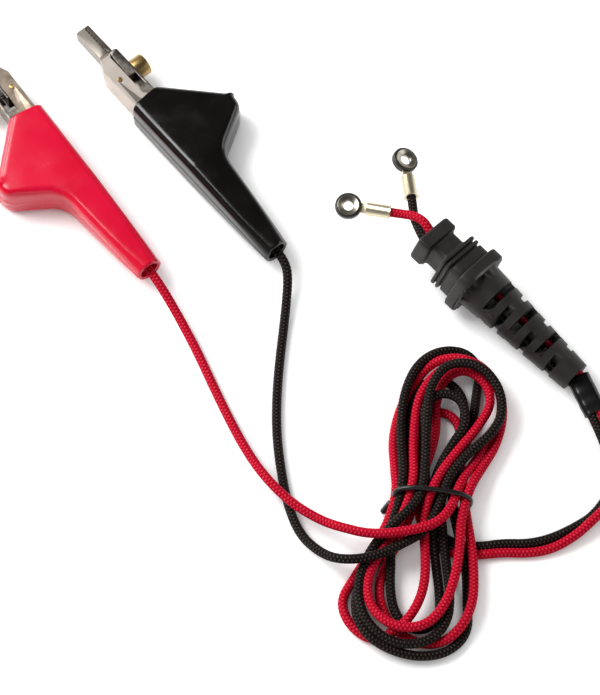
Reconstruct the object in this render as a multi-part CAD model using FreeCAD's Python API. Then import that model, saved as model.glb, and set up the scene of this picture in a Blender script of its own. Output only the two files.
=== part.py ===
import FreeCAD, Part
import math
import os
from FreeCAD import Placement, Rotation, Vector

# Two-lead test cord set: a red and a black spring clip in vinyl boots, two braided cords wound
# together in one tied hank, a slotted strain relief and two ring terminals.
# Millimetres, +Z up. The set lies on a table, the floor of the model is Z = 0.
# Layout points are given from the middle of the set's view and moved by LAYOUT_MIDDLE, so that the
# origin is under the middle of the clips, the relief and the terminals.

LAYOUT_MIDDLE = Vector(-11.09, 46.37, 0.0)

# Cords
cord_diameter = 2.8
cord_play = 0.15

# Clip jaws, in the clip's own frame: X towards the nose, Y towards the wing, pivot at the origin
sheet = 0.8
jaw_side_gap = 0.15
fixed_wall_top = 0.3
fixed_back_knee = 17.5
nose_width = 4.6
nose_start = 23.5
nose_tip = 35.3
bite_line = 1.4
bite_gap = 0.1
fixed_nose_thickness = 3.0
moving_nose_thickness = 1.6
fixed_back_at_pivot = -4.5
moving_back = 4.2
tooth_pitch = 1.3
tooth_depth = 0.35
tooth_count = 7
crimp_front = -25.0
crimp_length = 6.0
crimp_wall = 0.7
lever_gap = 0.4
lever_tip_play = 0.7
lever_pad = 2.4
ear_radius = 2.6
window_rear = 6.5
window_front = 11.8

# Pivot pin and jaw spring
pin_diameter = 2.4
pin_head_diameter = 3.8
pin_head_height = 0.6
pin_play = 0.05
spring_wire = 0.7
spring_inside_play = 0.35
spring_pitch = 1.3
spring_full_turns = 2
spring_lever_leg = 11.0
spring_tail_leg = 10.0

# Bed of nails in the moving jaw and the anvil that faces it
cup_x = 14.0
cup_diameter = 7.0
cup_height = 4.7
cup_bevel = 0.5
spigot_diameter = 4.2
spigot_length = 1.2
nail_diameter = 0.6
nail_circle = 1.4
nail_count = 6
nail_point = 0.6
nail_gap = 0.3
anvil_length = 6.4
anvil_width = 4.0
anvil_top = 0.5
rivet_diameter = 1.6
rivet_x = 12.2
rivet_y = -2.4
rivet_proud = 0.25

# Boots
boot_wall = 1.2
boot_depth = 13.0
boot_side_gap = 0.2
boot_tail_depth = 8.6
boot_tail_x = -63.5
boot_taper_x = -27.0
boot_back = -6.2
boot_mouth_back_x = 0.8
boot_mouth_wing_x = 2.2
boot_mouth_top = 6.6
boot_collar = 1.7
wing_front = Vector(-14.5, 21.0, 0.0)
wing_back = Vector(-19.5, 20.6, 0.0)
boot_neck = Vector(-28.5, 5.9, 0.0)
boot_tail_top = 1.9
boot_edge_radius = 1.8
wing_front_radius = 3.0
wing_back_radius = 4.0
neck_radius = 8.0
wing_bead_radius = 0.7

# Clip places in the layout
red_clip_pivot = Vector(-84.8, 73.0, 0.0)
red_clip_heading = 125.9
black_clip_pivot = Vector(-46.6, 79.0, 0.0)
black_clip_heading = 130.3

# Strain relief, in its own frame: X from the head to the tail, axis at the origin
relief_length = 62.0
relief_head = 5.6
relief_head_width = 13.6
relief_head_height = 10.6
relief_neck = 4.4
relief_neck_width = 9.4
relief_neck_height = 9.8
relief_block = 7.3
relief_block_size = 14.9
relief_block_chamfer = 2.2
relief_groove_width = 0.8
relief_groove_depth = 1.3
relief_groove_offset = 1.4
relief_groove_pitch = 2.5
relief_flange = 4.2
relief_flange_size = 18.0
relief_flange_chamfer = 3.6
relief_cone_start_radius = 7.9
relief_cone_end_radius = 4.95
relief_slot_first = 29.5
relief_slot_pitch = 10.1
relief_slot_count = 3
relief_slot_width = 2.4
relief_slot_floor = 2.5
pair_gap = 0.1
bore_play = 0.2
relief_front = Vector(38.7, 31.4, 0.0)
relief_heading = -44.7
relief_roll = -14.0
pair_roll = 35.0

# Shrink sleeve behind the strain relief
sleeve_length = 11.0
sleeve_wall = 0.6
sleeve_play = 0.15
sleeve_front = Vector(84.2, -14.1, 4.6)
sleeve_rear = Vector(88.8, -24.1, 3.6)
sleeve_roll = 15.0

# Ring terminals, in their own frame: X from the cord's mouth to the ring
barrel_length = 7.4
barrel_wall = 0.5
barrel_grip = 3.0
bell_length = 0.8
bell_flare = 0.35
eye_diameter = 6.6
eye_hole = 3.7
eye_thickness = 0.8
eye_reach = 13.0
tongue_width = 3.2
collar_diameter = 8.2
collar_inside = 5.6
collar_height = 2.2
collar_play = 0.08
red_terminal_mouth = Vector(27.6, 40.2, 11.2)
red_terminal_heading = 170.5
red_terminal_roll = -6.0
black_terminal_mouth = Vector(34.2, 46.2, 9.4)
black_terminal_heading = 98.0
black_terminal_roll = 24.0

# Hank of both cords: u along the hank, v across it, laps counted from the right side of the waist
hank_waist = Vector(39.05, -50.3, 0.0)
hank_heading = 81.4
hank_laps = 3.5
slot_pitch = 3.05
layer_pitch = 3.4
waist_half = 0.15
waist_shift = 1.525
lower_layer_shift = -1.525
hank_rest = 0.06
top_reach = 35.8
top_fullness = 11.4
top_shift = 1.7
bottom_reach = 34.5
bottom_fullness = 14.0
bottom_shift = -2.7
shift_at = 29.0
hank_step = 9.0
layer_change = 0.2
layer_bulge = 0.5
waist_lift = 2.2
exit_lift = 3.4
hank_lead_in = 5.0
hank_lead_out = 5.0

# Rubber ring round the hank's waist
tie_section = 1.8
tie_play = 0.4
tie_tab = Vector(2.2, 1.6, 2.6)

# Routes of the loose stretches: points chosen along each cord, from the clip to the hank,
# from the hank to the sleeve and from the relief's head to the terminal
red_clip_route = [
    Vector(-41.0, 15.9, 5.2), Vector(-36.4, 8.4, 2.4), Vector(-31.2, -1.6, 1.4), Vector(-26.4, -12.6, 1.4),
    Vector(-21.2, -24.0, 1.4), Vector(-15.4, -34.8, 2.2), Vector(-9.2, -43.6, 5.4), Vector(-1.6, -50.8, 5.4),
    Vector(6.6, -56.4, 4.6), Vector(13.8, -61.0, 6.8), Vector(21.2, -63.8, 8.8), Vector(28.9, -63.8, 9.2),
    Vector(35.8, -62.4, 9.5), Vector(40.2, -59.8, 9.0),
]
black_clip_route = [
    Vector(-3.0, 22.8, 5.4), Vector(-2.2, 15.2, 2.6), Vector(-3.4, 5.4, 1.4), Vector(-5.6, -5.6, 1.4),
    Vector(-6.9, -17.0, 1.4), Vector(-6.9, -28.4, 1.4), Vector(-5.8, -39.6, 1.4), Vector(-3.6, -50.2, 1.4),
    Vector(0.6, -59.6, 2.0), Vector(6.8, -66.2, 4.8), Vector(13.8, -69.6, 7.9), Vector(20.9, -69.9, 8.6),
    Vector(27.6, -68.2, 8.4), Vector(33.7, -64.8, 6.7), Vector(37.7, -60.1, 5.4),
]
red_relief_route = [
    Vector(36.9, -61.9, 1.8), Vector(42.4, -66.4, 1.4), Vector(50.6, -67.6, 1.4), Vector(59.6, -67.6, 1.4),
    Vector(68.4, -67.2, 1.4), Vector(77.2, -64.8, 1.4), Vector(85.2, -60.2, 1.4), Vector(91.8, -53.4, 1.4),
    Vector(95.4, -44.8, 1.4), Vector(95.2, -36.4, 1.8),
]
black_relief_route = [
    Vector(40.2, -60.0, 2.0), Vector(44.8, -63.2, 1.4), Vector(51.6, -64.0, 1.4), Vector(59.6, -64.4, 1.4),
    Vector(67.6, -64.0, 1.4), Vector(75.4, -61.8, 1.4), Vector(82.6, -57.6, 1.4), Vector(88.2, -51.6, 1.4),
    Vector(91.2, -44.2, 1.4), Vector(91.2, -36.4, 1.6),
]
red_tail_route = [Vector(37.8, 35.5, 14.2), Vector(34.9, 38.0, 13.2)]
black_tail_route = [Vector(36.1, 34.8, 11.0), Vector(34.8, 39.3, 9.4)]


def at(point):
    """A layout point moved into the model's frame."""
    return point - LAYOUT_MIDDLE


def rounded_wire(corners, radii):
    """A closed flat wire through corners, each rounded by an arc of its own radius (0 keeps it sharp)."""
    edges = []
    starts = []
    ends = []
    middles = []
    count = len(corners)
    for i in range(count):
        here = corners[i]
        back = (corners[i - 1] - here).normalize()
        ahead = (corners[(i + 1) % count] - here).normalize()
        if radii[i] == 0:
            starts.append(here)
            ends.append(here)
            middles.append(None)
            continue
        half = 0.5 * back.getAngle(ahead)
        reach = radii[i] / math.tan(half)
        inward = (back + ahead).normalize()
        starts.append(here + back * reach)
        ends.append(here + ahead * reach)
        middles.append(here + inward * (radii[i] / math.sin(half) - radii[i]))
    for i in range(count):
        if middles[i] is not None:
            edges.append(Part.Arc(starts[i], middles[i], ends[i]).toShape())
        following = starts[(i + 1) % count]
        if ends[i].distanceToPoint(following) > 1e-6:
            edges.append(Part.LineSegment(ends[i], following).toShape())
    return Part.Wire(edges)


def slab(wire, low, high):
    """A flat wire in the XY plane carried from Z = low to Z = high."""
    face = Part.Face(wire)
    face.translate(Vector(0, 0, low))
    return face.extrude(Vector(0, 0, high - low))


def plate(corners, low, high):
    """A sharp-cornered outline carried from Z = low to Z = high."""
    return slab(Part.makePolygon(corners + corners[:1]), low, high)


def rod(diameter, start, end):
    """A round rod from start to end."""
    return Part.makeCylinder(diameter / 2, start.distanceToPoint(end), start, end - start)


# Derived clip sizes
cord_radius = cord_diameter / 2
fixed_half = boot_depth / 2 - boot_wall - boot_side_gap - pin_head_height
moving_half = fixed_half - sheet - jaw_side_gap
nose_half = nose_width / 2
boot_half = boot_depth / 2
crimp_y = fixed_back_at_pivot + sheet + cord_play + cord_radius
boot_mouth = Vector(boot_mouth_wing_x - boot_collar, boot_mouth_top, 0)
wing_slope = (wing_front - boot_mouth).normalize()
wing_inward = Vector(-wing_slope.y, wing_slope.x, 0)


def lever_line(depth, height):
    """The point at a height on the line that lies depth inside the boot's wing front."""
    foot = boot_mouth + wing_inward * depth
    return foot + wing_slope * ((height - foot.y) / wing_slope.y)


def fixed_back(x):
    """Height of the fixed jaw's back between its lever and its nose."""
    low = fixed_back_at_pivot
    high = bite_line - bite_gap / 2 - fixed_nose_thickness
    span = min(max((x - fixed_back_knee) / (nose_start - fixed_back_knee), 0.0), 1.0)
    return low + (high - low) * span


def nose_trim(half_width):
    """What stays of a jaw beside its narrow nose: the full width behind, the nose width ahead."""
    slope = half_width - nose_half
    outline = [
        Vector(boot_tail_x, -half_width, 0), Vector(nose_start - slope, -half_width, 0),
        Vector(nose_start, -nose_half, 0), Vector(nose_tip, -nose_half, 0),
        Vector(nose_tip, nose_half, 0), Vector(nose_start, nose_half, 0),
        Vector(nose_start - slope, half_width, 0), Vector(boot_tail_x, half_width, 0),
    ]
    trim = plate(outline, -boot_depth, 2 * boot_depth)
    trim.rotate(Vector(), Vector(1, 0, 0), 90)
    trim.translate(Vector(0, boot_depth, 0))
    return trim


def teeth(height, direction):
    """The notches across a nose's biting face, cut towards direction."""
    first = nose_tip - tooth_pitch
    cuts = []
    for i in range(tooth_count):
        x = first - i * tooth_pitch
        notch = [
            Vector(x - tooth_depth, height - direction * tooth_depth, 0),
            Vector(x, height + direction * tooth_depth, 0),
            Vector(x + tooth_depth, height - direction * tooth_depth, 0),
        ]
        cuts.append(plate(notch, -boot_half, boot_half))
    return cuts


def fixed_jaw():
    """Channel with the narrow nose, pivot ears, a tail lever and the crimp that holds the cord."""
    bite = bite_line - bite_gap / 2
    tail = crimp_front
    lever_half = crimp_y + cord_radius
    outline = [
        Vector(nose_tip, bite - fixed_nose_thickness, 0), Vector(nose_tip, bite, 0),
        Vector(nose_start - 2, bite, 0), Vector(nose_start - 3, fixed_wall_top, 0),
        Vector(1.5 * ear_radius, fixed_wall_top, 0), Vector(ear_radius, ear_radius - 1, 0),
        Vector(0, ear_radius, 0), Vector(-ear_radius, ear_radius - 1, 0), Vector(tail / 2, lever_half, 0),
        Vector(tail, fixed_back_at_pivot + sheet, 0), Vector(tail, fixed_back_at_pivot, 0),
        Vector(fixed_back_knee, fixed_back_at_pivot, 0), Vector(nose_start, fixed_back(nose_start), 0),
    ]
    body = plate(outline, -fixed_half, fixed_half)
    pocket = [
        Vector(nose_start - 2.5, boot_depth, 0), Vector(tail - 1, boot_depth, 0),
        Vector(tail - 1, fixed_back_at_pivot + sheet, 0),
        Vector(fixed_back_knee, fixed_back_at_pivot + sheet, 0),
        Vector(nose_start - 2.5, fixed_back(nose_start - 2.5) + sheet, 0),
    ]
    body = body.cut(plate(pocket, sheet - fixed_half, fixed_half - sheet))
    body = body.common(nose_trim(fixed_half))
    body = body.cut(teeth(bite, -1))
    crimp_inside = cord_radius + cord_play
    crimp_outside = crimp_inside + crimp_wall
    crimp_end = crimp_front - crimp_length
    web_corner = Vector(crimp_end, fixed_back_at_pivot, -crimp_outside * 0.6)
    web = Part.makeBox(crimp_length + 2, sheet, crimp_outside * 1.2, web_corner)
    barrel = rod(2 * crimp_outside, Vector(crimp_end, crimp_y, 0), Vector(crimp_front, crimp_y, 0))
    body = body.fuse([web, barrel])
    crimp_rear = Vector(crimp_end - 1, crimp_y, 0)
    body = body.cut(rod(2 * crimp_inside, crimp_rear, Vector(crimp_front + 2, crimp_y, 0)))
    pin_hole = pin_diameter + 2 * pin_play
    rivet_hole = rivet_diameter + 2 * pin_play
    body = body.cut(rod(pin_hole, Vector(0, 0, -boot_half), Vector(0, 0, boot_half)))
    body = body.cut(rod(rivet_hole, Vector(rivet_x, rivet_y, -boot_half), Vector(rivet_x, rivet_y, boot_half)))
    return body.removeSplitter()


def moving_jaw():
    """Channel nested in the fixed jaw, with its own nose and the thumb lever inside the wing."""
    bite = bite_line + bite_gap / 2
    outside = boot_wall + lever_gap
    inside = outside + sheet
    wall = outside + 3.4
    lever_top = wing_back.y - boot_wall - lever_tip_play
    bend = lever_line(outside, moving_back)
    bend_inside = lever_line(inside, moving_back - sheet)
    crown = lever_line(outside, lever_top)
    crown_inside = lever_line(inside, lever_top - sheet)
    outline = [
        Vector(nose_tip, bite, 0), Vector(nose_tip, bite + moving_nose_thickness, 0),
        Vector(nose_start, bite + moving_nose_thickness, 0), Vector(nose_start - 1.5, moving_back, 0), bend,
        crown, crown + Vector(-lever_pad, 0, 0), crown + Vector(-lever_pad, -sheet, 0),
        lever_line(wall, lever_top - 4.0),
        lever_line(wall, ear_radius), Vector(-ear_radius, 0, 0), Vector(-1, -ear_radius + 0.6, 0),
        Vector(1, -ear_radius + 0.6, 0), Vector(ear_radius, 0.2, 0), Vector(nose_start - 3, bite - 0.2, 0),
        Vector(nose_start - 2, bite, 0),
    ]
    body = plate(outline, -moving_half, moving_half)
    pocket = [
        Vector(nose_start - 2.5, -boot_depth, 0), Vector(nose_start - 2.5, moving_back - sheet, 0),
        bend_inside, crown_inside, crown_inside + Vector(-boot_depth, 0, 0),
        Vector(crown_inside.x - boot_depth, -boot_depth, 0),
    ]
    body = body.cut(plate(pocket, sheet - moving_half, moving_half - sheet))
    window = [
        Vector(window_rear, -boot_depth, 0), Vector(window_front, -boot_depth, 0),
        Vector(window_front, moving_back - sheet, 0), Vector(window_rear, moving_back - sheet, 0),
    ]
    body = body.cut(plate(window, -moving_half, moving_half))
    body = body.common(nose_trim(moving_half))
    body = body.cut(teeth(bite, 1))
    pin_hole = pin_diameter + 2 * pin_play
    spigot_hole = spigot_diameter + 2 * pin_play
    body = body.cut(rod(pin_hole, Vector(0, 0, -boot_half), Vector(0, 0, boot_half)))
    body = body.cut(rod(spigot_hole, Vector(cup_x, 0, 0), Vector(cup_x, boot_half, 0)))
    return body.removeSplitter()


def pivot_pin():
    """Rivet through both jaws with a head outside each wall of the fixed jaw."""
    shank = rod(pin_diameter, Vector(0, 0, -fixed_half), Vector(0, 0, fixed_half))
    heads = []
    for side in (-1, 1):
        foot = Vector(0, 0, side * fixed_half)
        heads.append(rod(pin_head_diameter, foot, foot + Vector(0, 0, side * pin_head_height)))
    return shank.fuse(heads).removeSplitter()


def biarc(p0, t0, p1, t1):
    """Two tangent arcs, or one line, from p0 along t0 to p1 along t1."""
    v = p1 - p0
    if t0.getAngle(v) < 1e-4 and t1.getAngle(v) < 1e-4:
        return [Part.LineSegment(p0, p1).toShape()]
    t = t0 + t1
    a = 2 * (1 - t0.dot(t1))
    if a < 1e-9:
        d = v.dot(v) / (2 * v.dot(t))
    else:
        d = (-v.dot(t) + math.sqrt(v.dot(t) ** 2 + a * v.dot(v))) / a
    joint = (p0 + p1 + (t0 - t1) * d) * 0.5
    return [arc_from(p0, t0, joint), arc_from(p1, t1 * -1, joint)]


def arc_from(start, tangent, end):
    """The arc that leaves start along tangent and reaches end, or the line where it is straight."""
    chord = end - start
    along = chord.dot(tangent)
    across = chord - tangent * along
    if across.Length < 1e-6:
        return Part.LineSegment(start, end).toShape()
    radius = chord.dot(chord) / (2 * across.Length)
    centre = start + across.normalize() * radius
    middle = centre + ((start - centre) + (end - centre)).normalize() * radius
    return Part.Arc(start, middle, end).toShape()


def pipe(edges, diameter, start, tangent):
    """A round solid carried along joined edges."""
    profile = Part.Wire(Part.makeCircle(diameter / 2, start, tangent))
    return Part.Wire(edges).makePipeShell([profile], True, False)


def curve_pipe(points, tangents, diameter):
    """A round solid along biarcs through points with given tangents."""
    edges = []
    for i in range(len(points) - 1):
        edges += biarc(points[i], tangents[i], points[i + 1], tangents[i + 1])
    return pipe(edges, diameter, points[0], tangents[0])


def jaw_spring():
    """Torsion spring round the pin: a leg along the moving lever, the coil, a leg along the fixed one."""
    radius = pin_diameter / 2 + spring_inside_play + spring_wire / 2
    along_lever = math.atan2(wing_slope.y, wing_slope.x)
    first = along_lever - math.pi / 2
    drop = -fixed_back_at_pivot - sheet - spring_wire / 2 - cord_play - radius
    last = -math.pi / 2 + math.atan2(drop, spring_tail_leg) - 2 * math.pi * spring_full_turns
    quarter_turns = 4 * (spring_full_turns + 1)
    height = spring_pitch * (first - last) / (2 * math.pi)
    climb = -spring_pitch / (2 * math.pi * radius)
    points = []
    tangents = []
    for i in range(quarter_turns + 1):
        angle = first + (last - first) * i / quarter_turns
        level = height / 2 - height * i / quarter_turns
        points.append(Vector(radius * math.cos(angle), radius * math.sin(angle), level))
        tangents.append(Vector(math.sin(angle), -math.cos(angle), climb).normalize())
    for i in (0, -1):
        tangents[i] = Vector(tangents[i].x, tangents[i].y, 0).normalize()
    start_leg = points[0] - tangents[0] * spring_lever_leg
    end_leg = points[-1] + tangents[-1] * spring_tail_leg
    points = [start_leg] + points + [end_leg]
    return curve_pipe(points, [tangents[0]] + tangents + [tangents[-1]], spring_wire)


def nail_cup():
    """Brass barrel on the moving jaw's back, with the spigot that is staked through it."""
    barrel = rod(cup_diameter, Vector(cup_x, moving_back, 0), Vector(cup_x, moving_back + cup_height, 0))
    rim = [edge for edge in barrel.Edges if edge.BoundBox.YMin > moving_back + cup_height / 2 and edge.Closed]
    barrel = barrel.makeChamfer(cup_bevel, rim)
    spigot = rod(spigot_diameter, Vector(cup_x, moving_back - spigot_length, 0), Vector(cup_x, moving_back, 0))
    return barrel.fuse(spigot).removeSplitter()


def nails():
    """Seven pointed pins, one in the middle and the rest on a circle, standing out of the spigot."""
    base = moving_back - spigot_length
    tip = anvil_top + nail_gap
    places = [(0.0, 0.0)]
    for i in range(nail_count):
        angle = 2 * math.pi * i / nail_count
        places.append((nail_circle * math.cos(angle), nail_circle * math.sin(angle)))
    pins = []
    for dx, dz in places:
        neck = Vector(cup_x + dx, tip + nail_point, dz)
        shank = rod(nail_diameter, Vector(cup_x + dx, base, dz), neck)
        point = Part.makeCone(nail_diameter / 2, 0, nail_point, neck, Vector(0, -1, 0))
        pins.append(shank.fuse(point).removeSplitter())
    return Part.makeCompound(pins)


def anvil():
    """Block on the floor of the fixed jaw that the nails press a wire against."""
    front = cup_x + anvil_length / 2
    rear = cup_x - anvil_length / 2
    outline = [
        Vector(rear, fixed_back(rear) + sheet, 0), Vector(front, fixed_back(front) + sheet, 0),
        Vector(front, anvil_top, 0), Vector(rear, anvil_top, 0),
    ]
    block = plate(outline, -anvil_width / 2, anvil_width / 2)
    rivet_hole = rivet_diameter + 2 * pin_play
    return block.cut(rod(rivet_hole, Vector(rivet_x, rivet_y, -boot_half), Vector(rivet_x, rivet_y, boot_half)))


def anvil_rivet():
    """Rivet across the fixed jaw that holds the anvil."""
    reach = fixed_half + rivet_proud
    return rod(rivet_diameter, Vector(rivet_x, rivet_y, -reach), Vector(rivet_x, rivet_y, reach))


def boot_solid(inset, extra, edge_radius):
    """The boot's form, moved inwards by inset and lengthened by extra at both ends, edges rounded."""
    tail_x = boot_tail_x - extra
    slope = (boot_neck.y - boot_tail_top) / (boot_neck.x - boot_tail_x)
    corners = [
        Vector(boot_mouth_back_x + extra, boot_back, 0), Vector(boot_mouth_wing_x + extra, boot_mouth_top, 0),
        boot_mouth, wing_front, wing_back, boot_neck,
        Vector(tail_x, boot_tail_top - slope * extra, 0), Vector(tail_x, boot_back, 0),
    ]
    radii = [0, 0, neck_radius / 4, wing_front_radius, wing_back_radius, neck_radius, 0, 0]
    wire = rounded_wire(corners, radii)
    if inset:
        wire = wire.makeOffset2D(-inset, 0, False, False, True)
    taper = (boot_depth - boot_tail_depth) / 2 / (boot_taper_x - boot_tail_x)
    half = boot_half - inset
    tail_half = boot_tail_depth / 2 - inset - taper * extra
    ahead = boot_mouth_wing_x + extra + 1
    side = [
        Vector(ahead, -half, 0), Vector(ahead, half, 0), Vector(boot_taper_x, half, 0),
        Vector(tail_x, tail_half, 0), Vector(tail_x, -tail_half, 0), Vector(boot_taper_x, -half, 0),
    ]
    profile = plate(side, -2 * boot_depth, 2 * boot_depth)
    profile.rotate(Vector(), Vector(1, 0, 0), 90)
    body = slab(wire, -boot_depth, boot_depth).common(profile)
    rims = []
    for edge in body.Edges:
        box = edge.BoundBox
        middle = edge.valueAt((edge.FirstParameter + edge.LastParameter) / 2)
        across_end = box.XLength < 2 and (middle.x > 0 or middle.x < boot_tail_x + 1)
        flat = box.ZLength < 1e-6 or box.XLength > 10
        over_the_back = box.YLength > 8 and box.XLength < 1e-6
        if flat and not across_end and not over_the_back:
            rims.append(edge)
    return body.makeFillet(edge_radius, rims)


def boot():
    """Hollow vinyl boot, open at the mouth and the tail, with a bead at the wing's end."""
    shell = boot_solid(0, 0, boot_edge_radius)
    middle = (wing_front + wing_back) * 0.5
    reach = Vector(0, 0, boot_half - 2 * boot_edge_radius)
    shell = shell.fuse(rod(2 * wing_bead_radius, middle - reach, middle + reach))
    return shell.cut(boot_solid(boot_wall, 2 * boot_wall, boot_edge_radius / 2)).removeSplitter()


def clip_placement(pivot, heading, flipped):
    """Where a clip lies: its boot flat on the floor, turned over for the black one."""
    turn = Rotation(Vector(0, 0, 1), heading)
    if flipped:
        turn = turn * Rotation(Vector(1, 0, 0), 180)
    return Placement(at(pivot) + Vector(0, 0, boot_half), turn)


def relief_placement():
    """The relief rests on its flange and on its tail, so its axis slopes down to the tail."""
    roll = math.radians(relief_roll)
    side = relief_flange_size / 2
    flange_height = side * math.cos(roll) + (side - relief_flange_chamfer) * abs(math.sin(roll))
    slope = math.atan((flange_height - relief_cone_end_radius) / relief_cone_length)
    front_height = relief_cone_end_radius * math.cos(slope) + relief_length * math.sin(slope)
    turn = Rotation(Vector(0, 0, 1), relief_heading) * Rotation(Vector(0, 1, 0), math.degrees(slope))
    turn = turn * Rotation(Vector(1, 0, 0), relief_roll)
    return Placement(at(relief_front) + Vector(0, 0, front_height), turn)


relief_block_x = relief_head + relief_neck
relief_flange_x = relief_block_x + relief_block
relief_cone_x = relief_flange_x + relief_flange
relief_cone_length = relief_length - relief_cone_x
pair_half = cord_radius + pair_gap / 2
bore_radius = pair_half + cord_radius + bore_play


def square_prism(size, chamfer, start, length):
    """A square bar along X with chamfered corners."""
    half = size / 2
    inner = half - chamfer
    corners = [
        Vector(half, inner, 0), Vector(inner, half, 0), Vector(-inner, half, 0), Vector(-half, inner, 0),
        Vector(-half, -inner, 0), Vector(-inner, -half, 0), Vector(inner, -half, 0), Vector(half, -inner, 0),
    ]
    bar = plate(corners, 0, length)
    bar.rotate(Vector(), Vector(0, 1, 0), 90)
    bar.translate(Vector(start, 0, 0))
    return bar


def strain_relief():
    """Moulded relief: hammer head, neck, grooved block, flange and a slotted tapering tail."""
    head_corner = Vector(0, -relief_head_width / 2, -relief_head_height / 2)
    body = rod(relief_head_width, Vector(0, 0, 0), Vector(relief_head, 0, 0))
    body = body.common(Part.makeBox(relief_head, relief_head_width, relief_head_height, head_corner))
    neck_corner = Vector(relief_head, -relief_neck_width / 2, -relief_neck_height / 2)
    neck = Part.makeBox(relief_neck, relief_neck_width, relief_neck_height, neck_corner)
    block = square_prism(relief_block_size, relief_block_chamfer, relief_block_x, relief_block)
    for i in range(2):
        start = relief_block_x + relief_groove_offset + i * relief_groove_pitch
        ring = square_prism(relief_block_size + 2, relief_block_chamfer, start, relief_groove_width)
        core_size = relief_block_size - 2 * relief_groove_depth
        core_chamfer = relief_block_chamfer - relief_groove_depth / 2
        ring = ring.cut(square_prism(core_size, core_chamfer, start, relief_groove_width))
        block = block.cut(ring)
    flange = square_prism(relief_flange_size, relief_flange_chamfer, relief_flange_x, relief_flange)
    cone = Part.makeCone(relief_cone_start_radius, relief_cone_end_radius, relief_cone_length,
                         Vector(relief_cone_x, 0, 0), Vector(1, 0, 0))
    body = body.fuse([neck, block, flange, cone])
    body = body.cut(rod(2 * bore_radius, Vector(-1, 0, 0), Vector(relief_length + 1, 0, 0)))
    depth = 2 * relief_cone_start_radius
    for i in range(relief_slot_count):
        top_x = relief_slot_first + i * relief_slot_pitch - relief_slot_width / 2
        side_x = top_x + relief_slot_pitch / 2
        for side in (-1, 1):
            low = min(side * relief_slot_floor, side * (relief_slot_floor + depth))
            body = body.cut(Part.makeBox(relief_slot_width, depth, depth, Vector(top_x, -depth / 2, low)))
            body = body.cut(Part.makeBox(relief_slot_width, depth, depth, Vector(side_x, low, -depth / 2)))
    return body.removeSplitter()


def stadium(half_straight, radius, length):
    """A flat-sided oval bar along X, long across Y."""
    corners = [
        Vector(-half_straight - radius, -radius, 0), Vector(half_straight + radius, -radius, 0),
        Vector(half_straight + radius, radius, 0), Vector(-half_straight - radius, radius, 0),
    ]
    bar = slab(rounded_wire(corners, [radius * 0.999] * 4), 0, length)
    bar.rotate(Vector(), Vector(0, 1, 0), 90)
    bar.rotate(Vector(), Vector(1, 0, 0), 90)
    return bar


def cord_sleeve():
    """Shrunk oval sleeve round both cords."""
    inside = cord_radius + sleeve_play
    outer = stadium(pair_half, inside + sleeve_wall, sleeve_length)
    return outer.cut(stadium(pair_half, inside, sleeve_length))


def along(start, end, roll):
    """The placement whose X axis runs from start to end, rolled about it."""
    turn = Rotation(Vector(1, 0, 0), end - start)
    level = turn.multVec(Vector(0, 0, 1))
    axis = (end - start).normalize()
    upright = (Vector(0, 0, 1) - axis * axis.z).normalize()
    twist = math.degrees(math.atan2(level.cross(upright).dot(axis), level.dot(upright)))
    return Placement(start, Rotation(axis, twist + roll) * turn)


def ring_terminal():
    """Crimp barrel with a belled mouth, a tongue and a flat eye."""
    inside = cord_radius + cord_play
    outside = inside + barrel_wall
    barrel = rod(2 * outside, Vector(0, 0, 0), Vector(barrel_length, 0, 0))
    bell = Part.makeCone(outside + bell_flare, outside, bell_length, Vector(0, 0, 0), Vector(1, 0, 0))
    tongue_z = -eye_thickness / 2
    tongue_corner = Vector(barrel_length - 1, -tongue_width / 2, tongue_z)
    tongue = Part.makeBox(eye_reach - barrel_length + 1, tongue_width, eye_thickness, tongue_corner)
    eye = Part.makeCylinder(eye_diameter / 2, eye_thickness, Vector(eye_reach, 0, tongue_z))
    body = barrel.fuse([bell, tongue, eye])
    body = body.cut(rod(2 * inside, Vector(-1, 0, 0), Vector(barrel_grip + cord_play, 0, 0)))
    hole = Part.makeCylinder(eye_hole / 2, 2 * eye_thickness, Vector(eye_reach, 0, -eye_thickness))
    return body.cut(hole).removeSplitter()


def terminal_collar():
    """Rubber collar that wraps the eye's rim and is open where the tongue passes."""
    half = collar_height / 2
    ring = Part.makeCylinder(collar_diameter / 2, collar_height, Vector(eye_reach, 0, -half))
    ring = ring.makeFillet(half * 0.45, [edge for edge in ring.Edges if edge.Closed])
    ring = ring.cut(Part.makeCylinder(collar_inside / 2, collar_height, Vector(eye_reach, 0, -half)))
    groove_half = eye_thickness / 2 + collar_play
    groove_radius = eye_diameter / 2 + collar_play
    ring = ring.cut(Part.makeCylinder(groove_radius, 2 * groove_half, Vector(eye_reach, 0, -groove_half)))
    passage = tongue_width + 2 * collar_play
    return ring.cut(Part.makeBox(eye_reach, passage, 2 * groove_half, Vector(0, -passage / 2, -groove_half)))


def terminal_placement(mouth, heading, roll):
    return Placement(at(mouth), Rotation(Vector(0, 0, 1), heading) * Rotation(Vector(1, 0, 0), roll))


def smooth(x):
    """0 below 0, 1 above 1, with a soft step between."""
    x = min(max(x, 0.0), 1.0)
    return x * x * (3 - 2 * x)


def between(x, knots):
    """Soft steps through (place, value) knots, level outside them."""
    if x <= knots[0][0]:
        return knots[0][1]
    for (x0, y0), (x1, y1) in zip(knots, knots[1:]):
        if x <= x1:
            return y0 + (y1 - y0) * smooth((x - x0) / (x1 - x0))
    return knots[-1][1]


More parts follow.
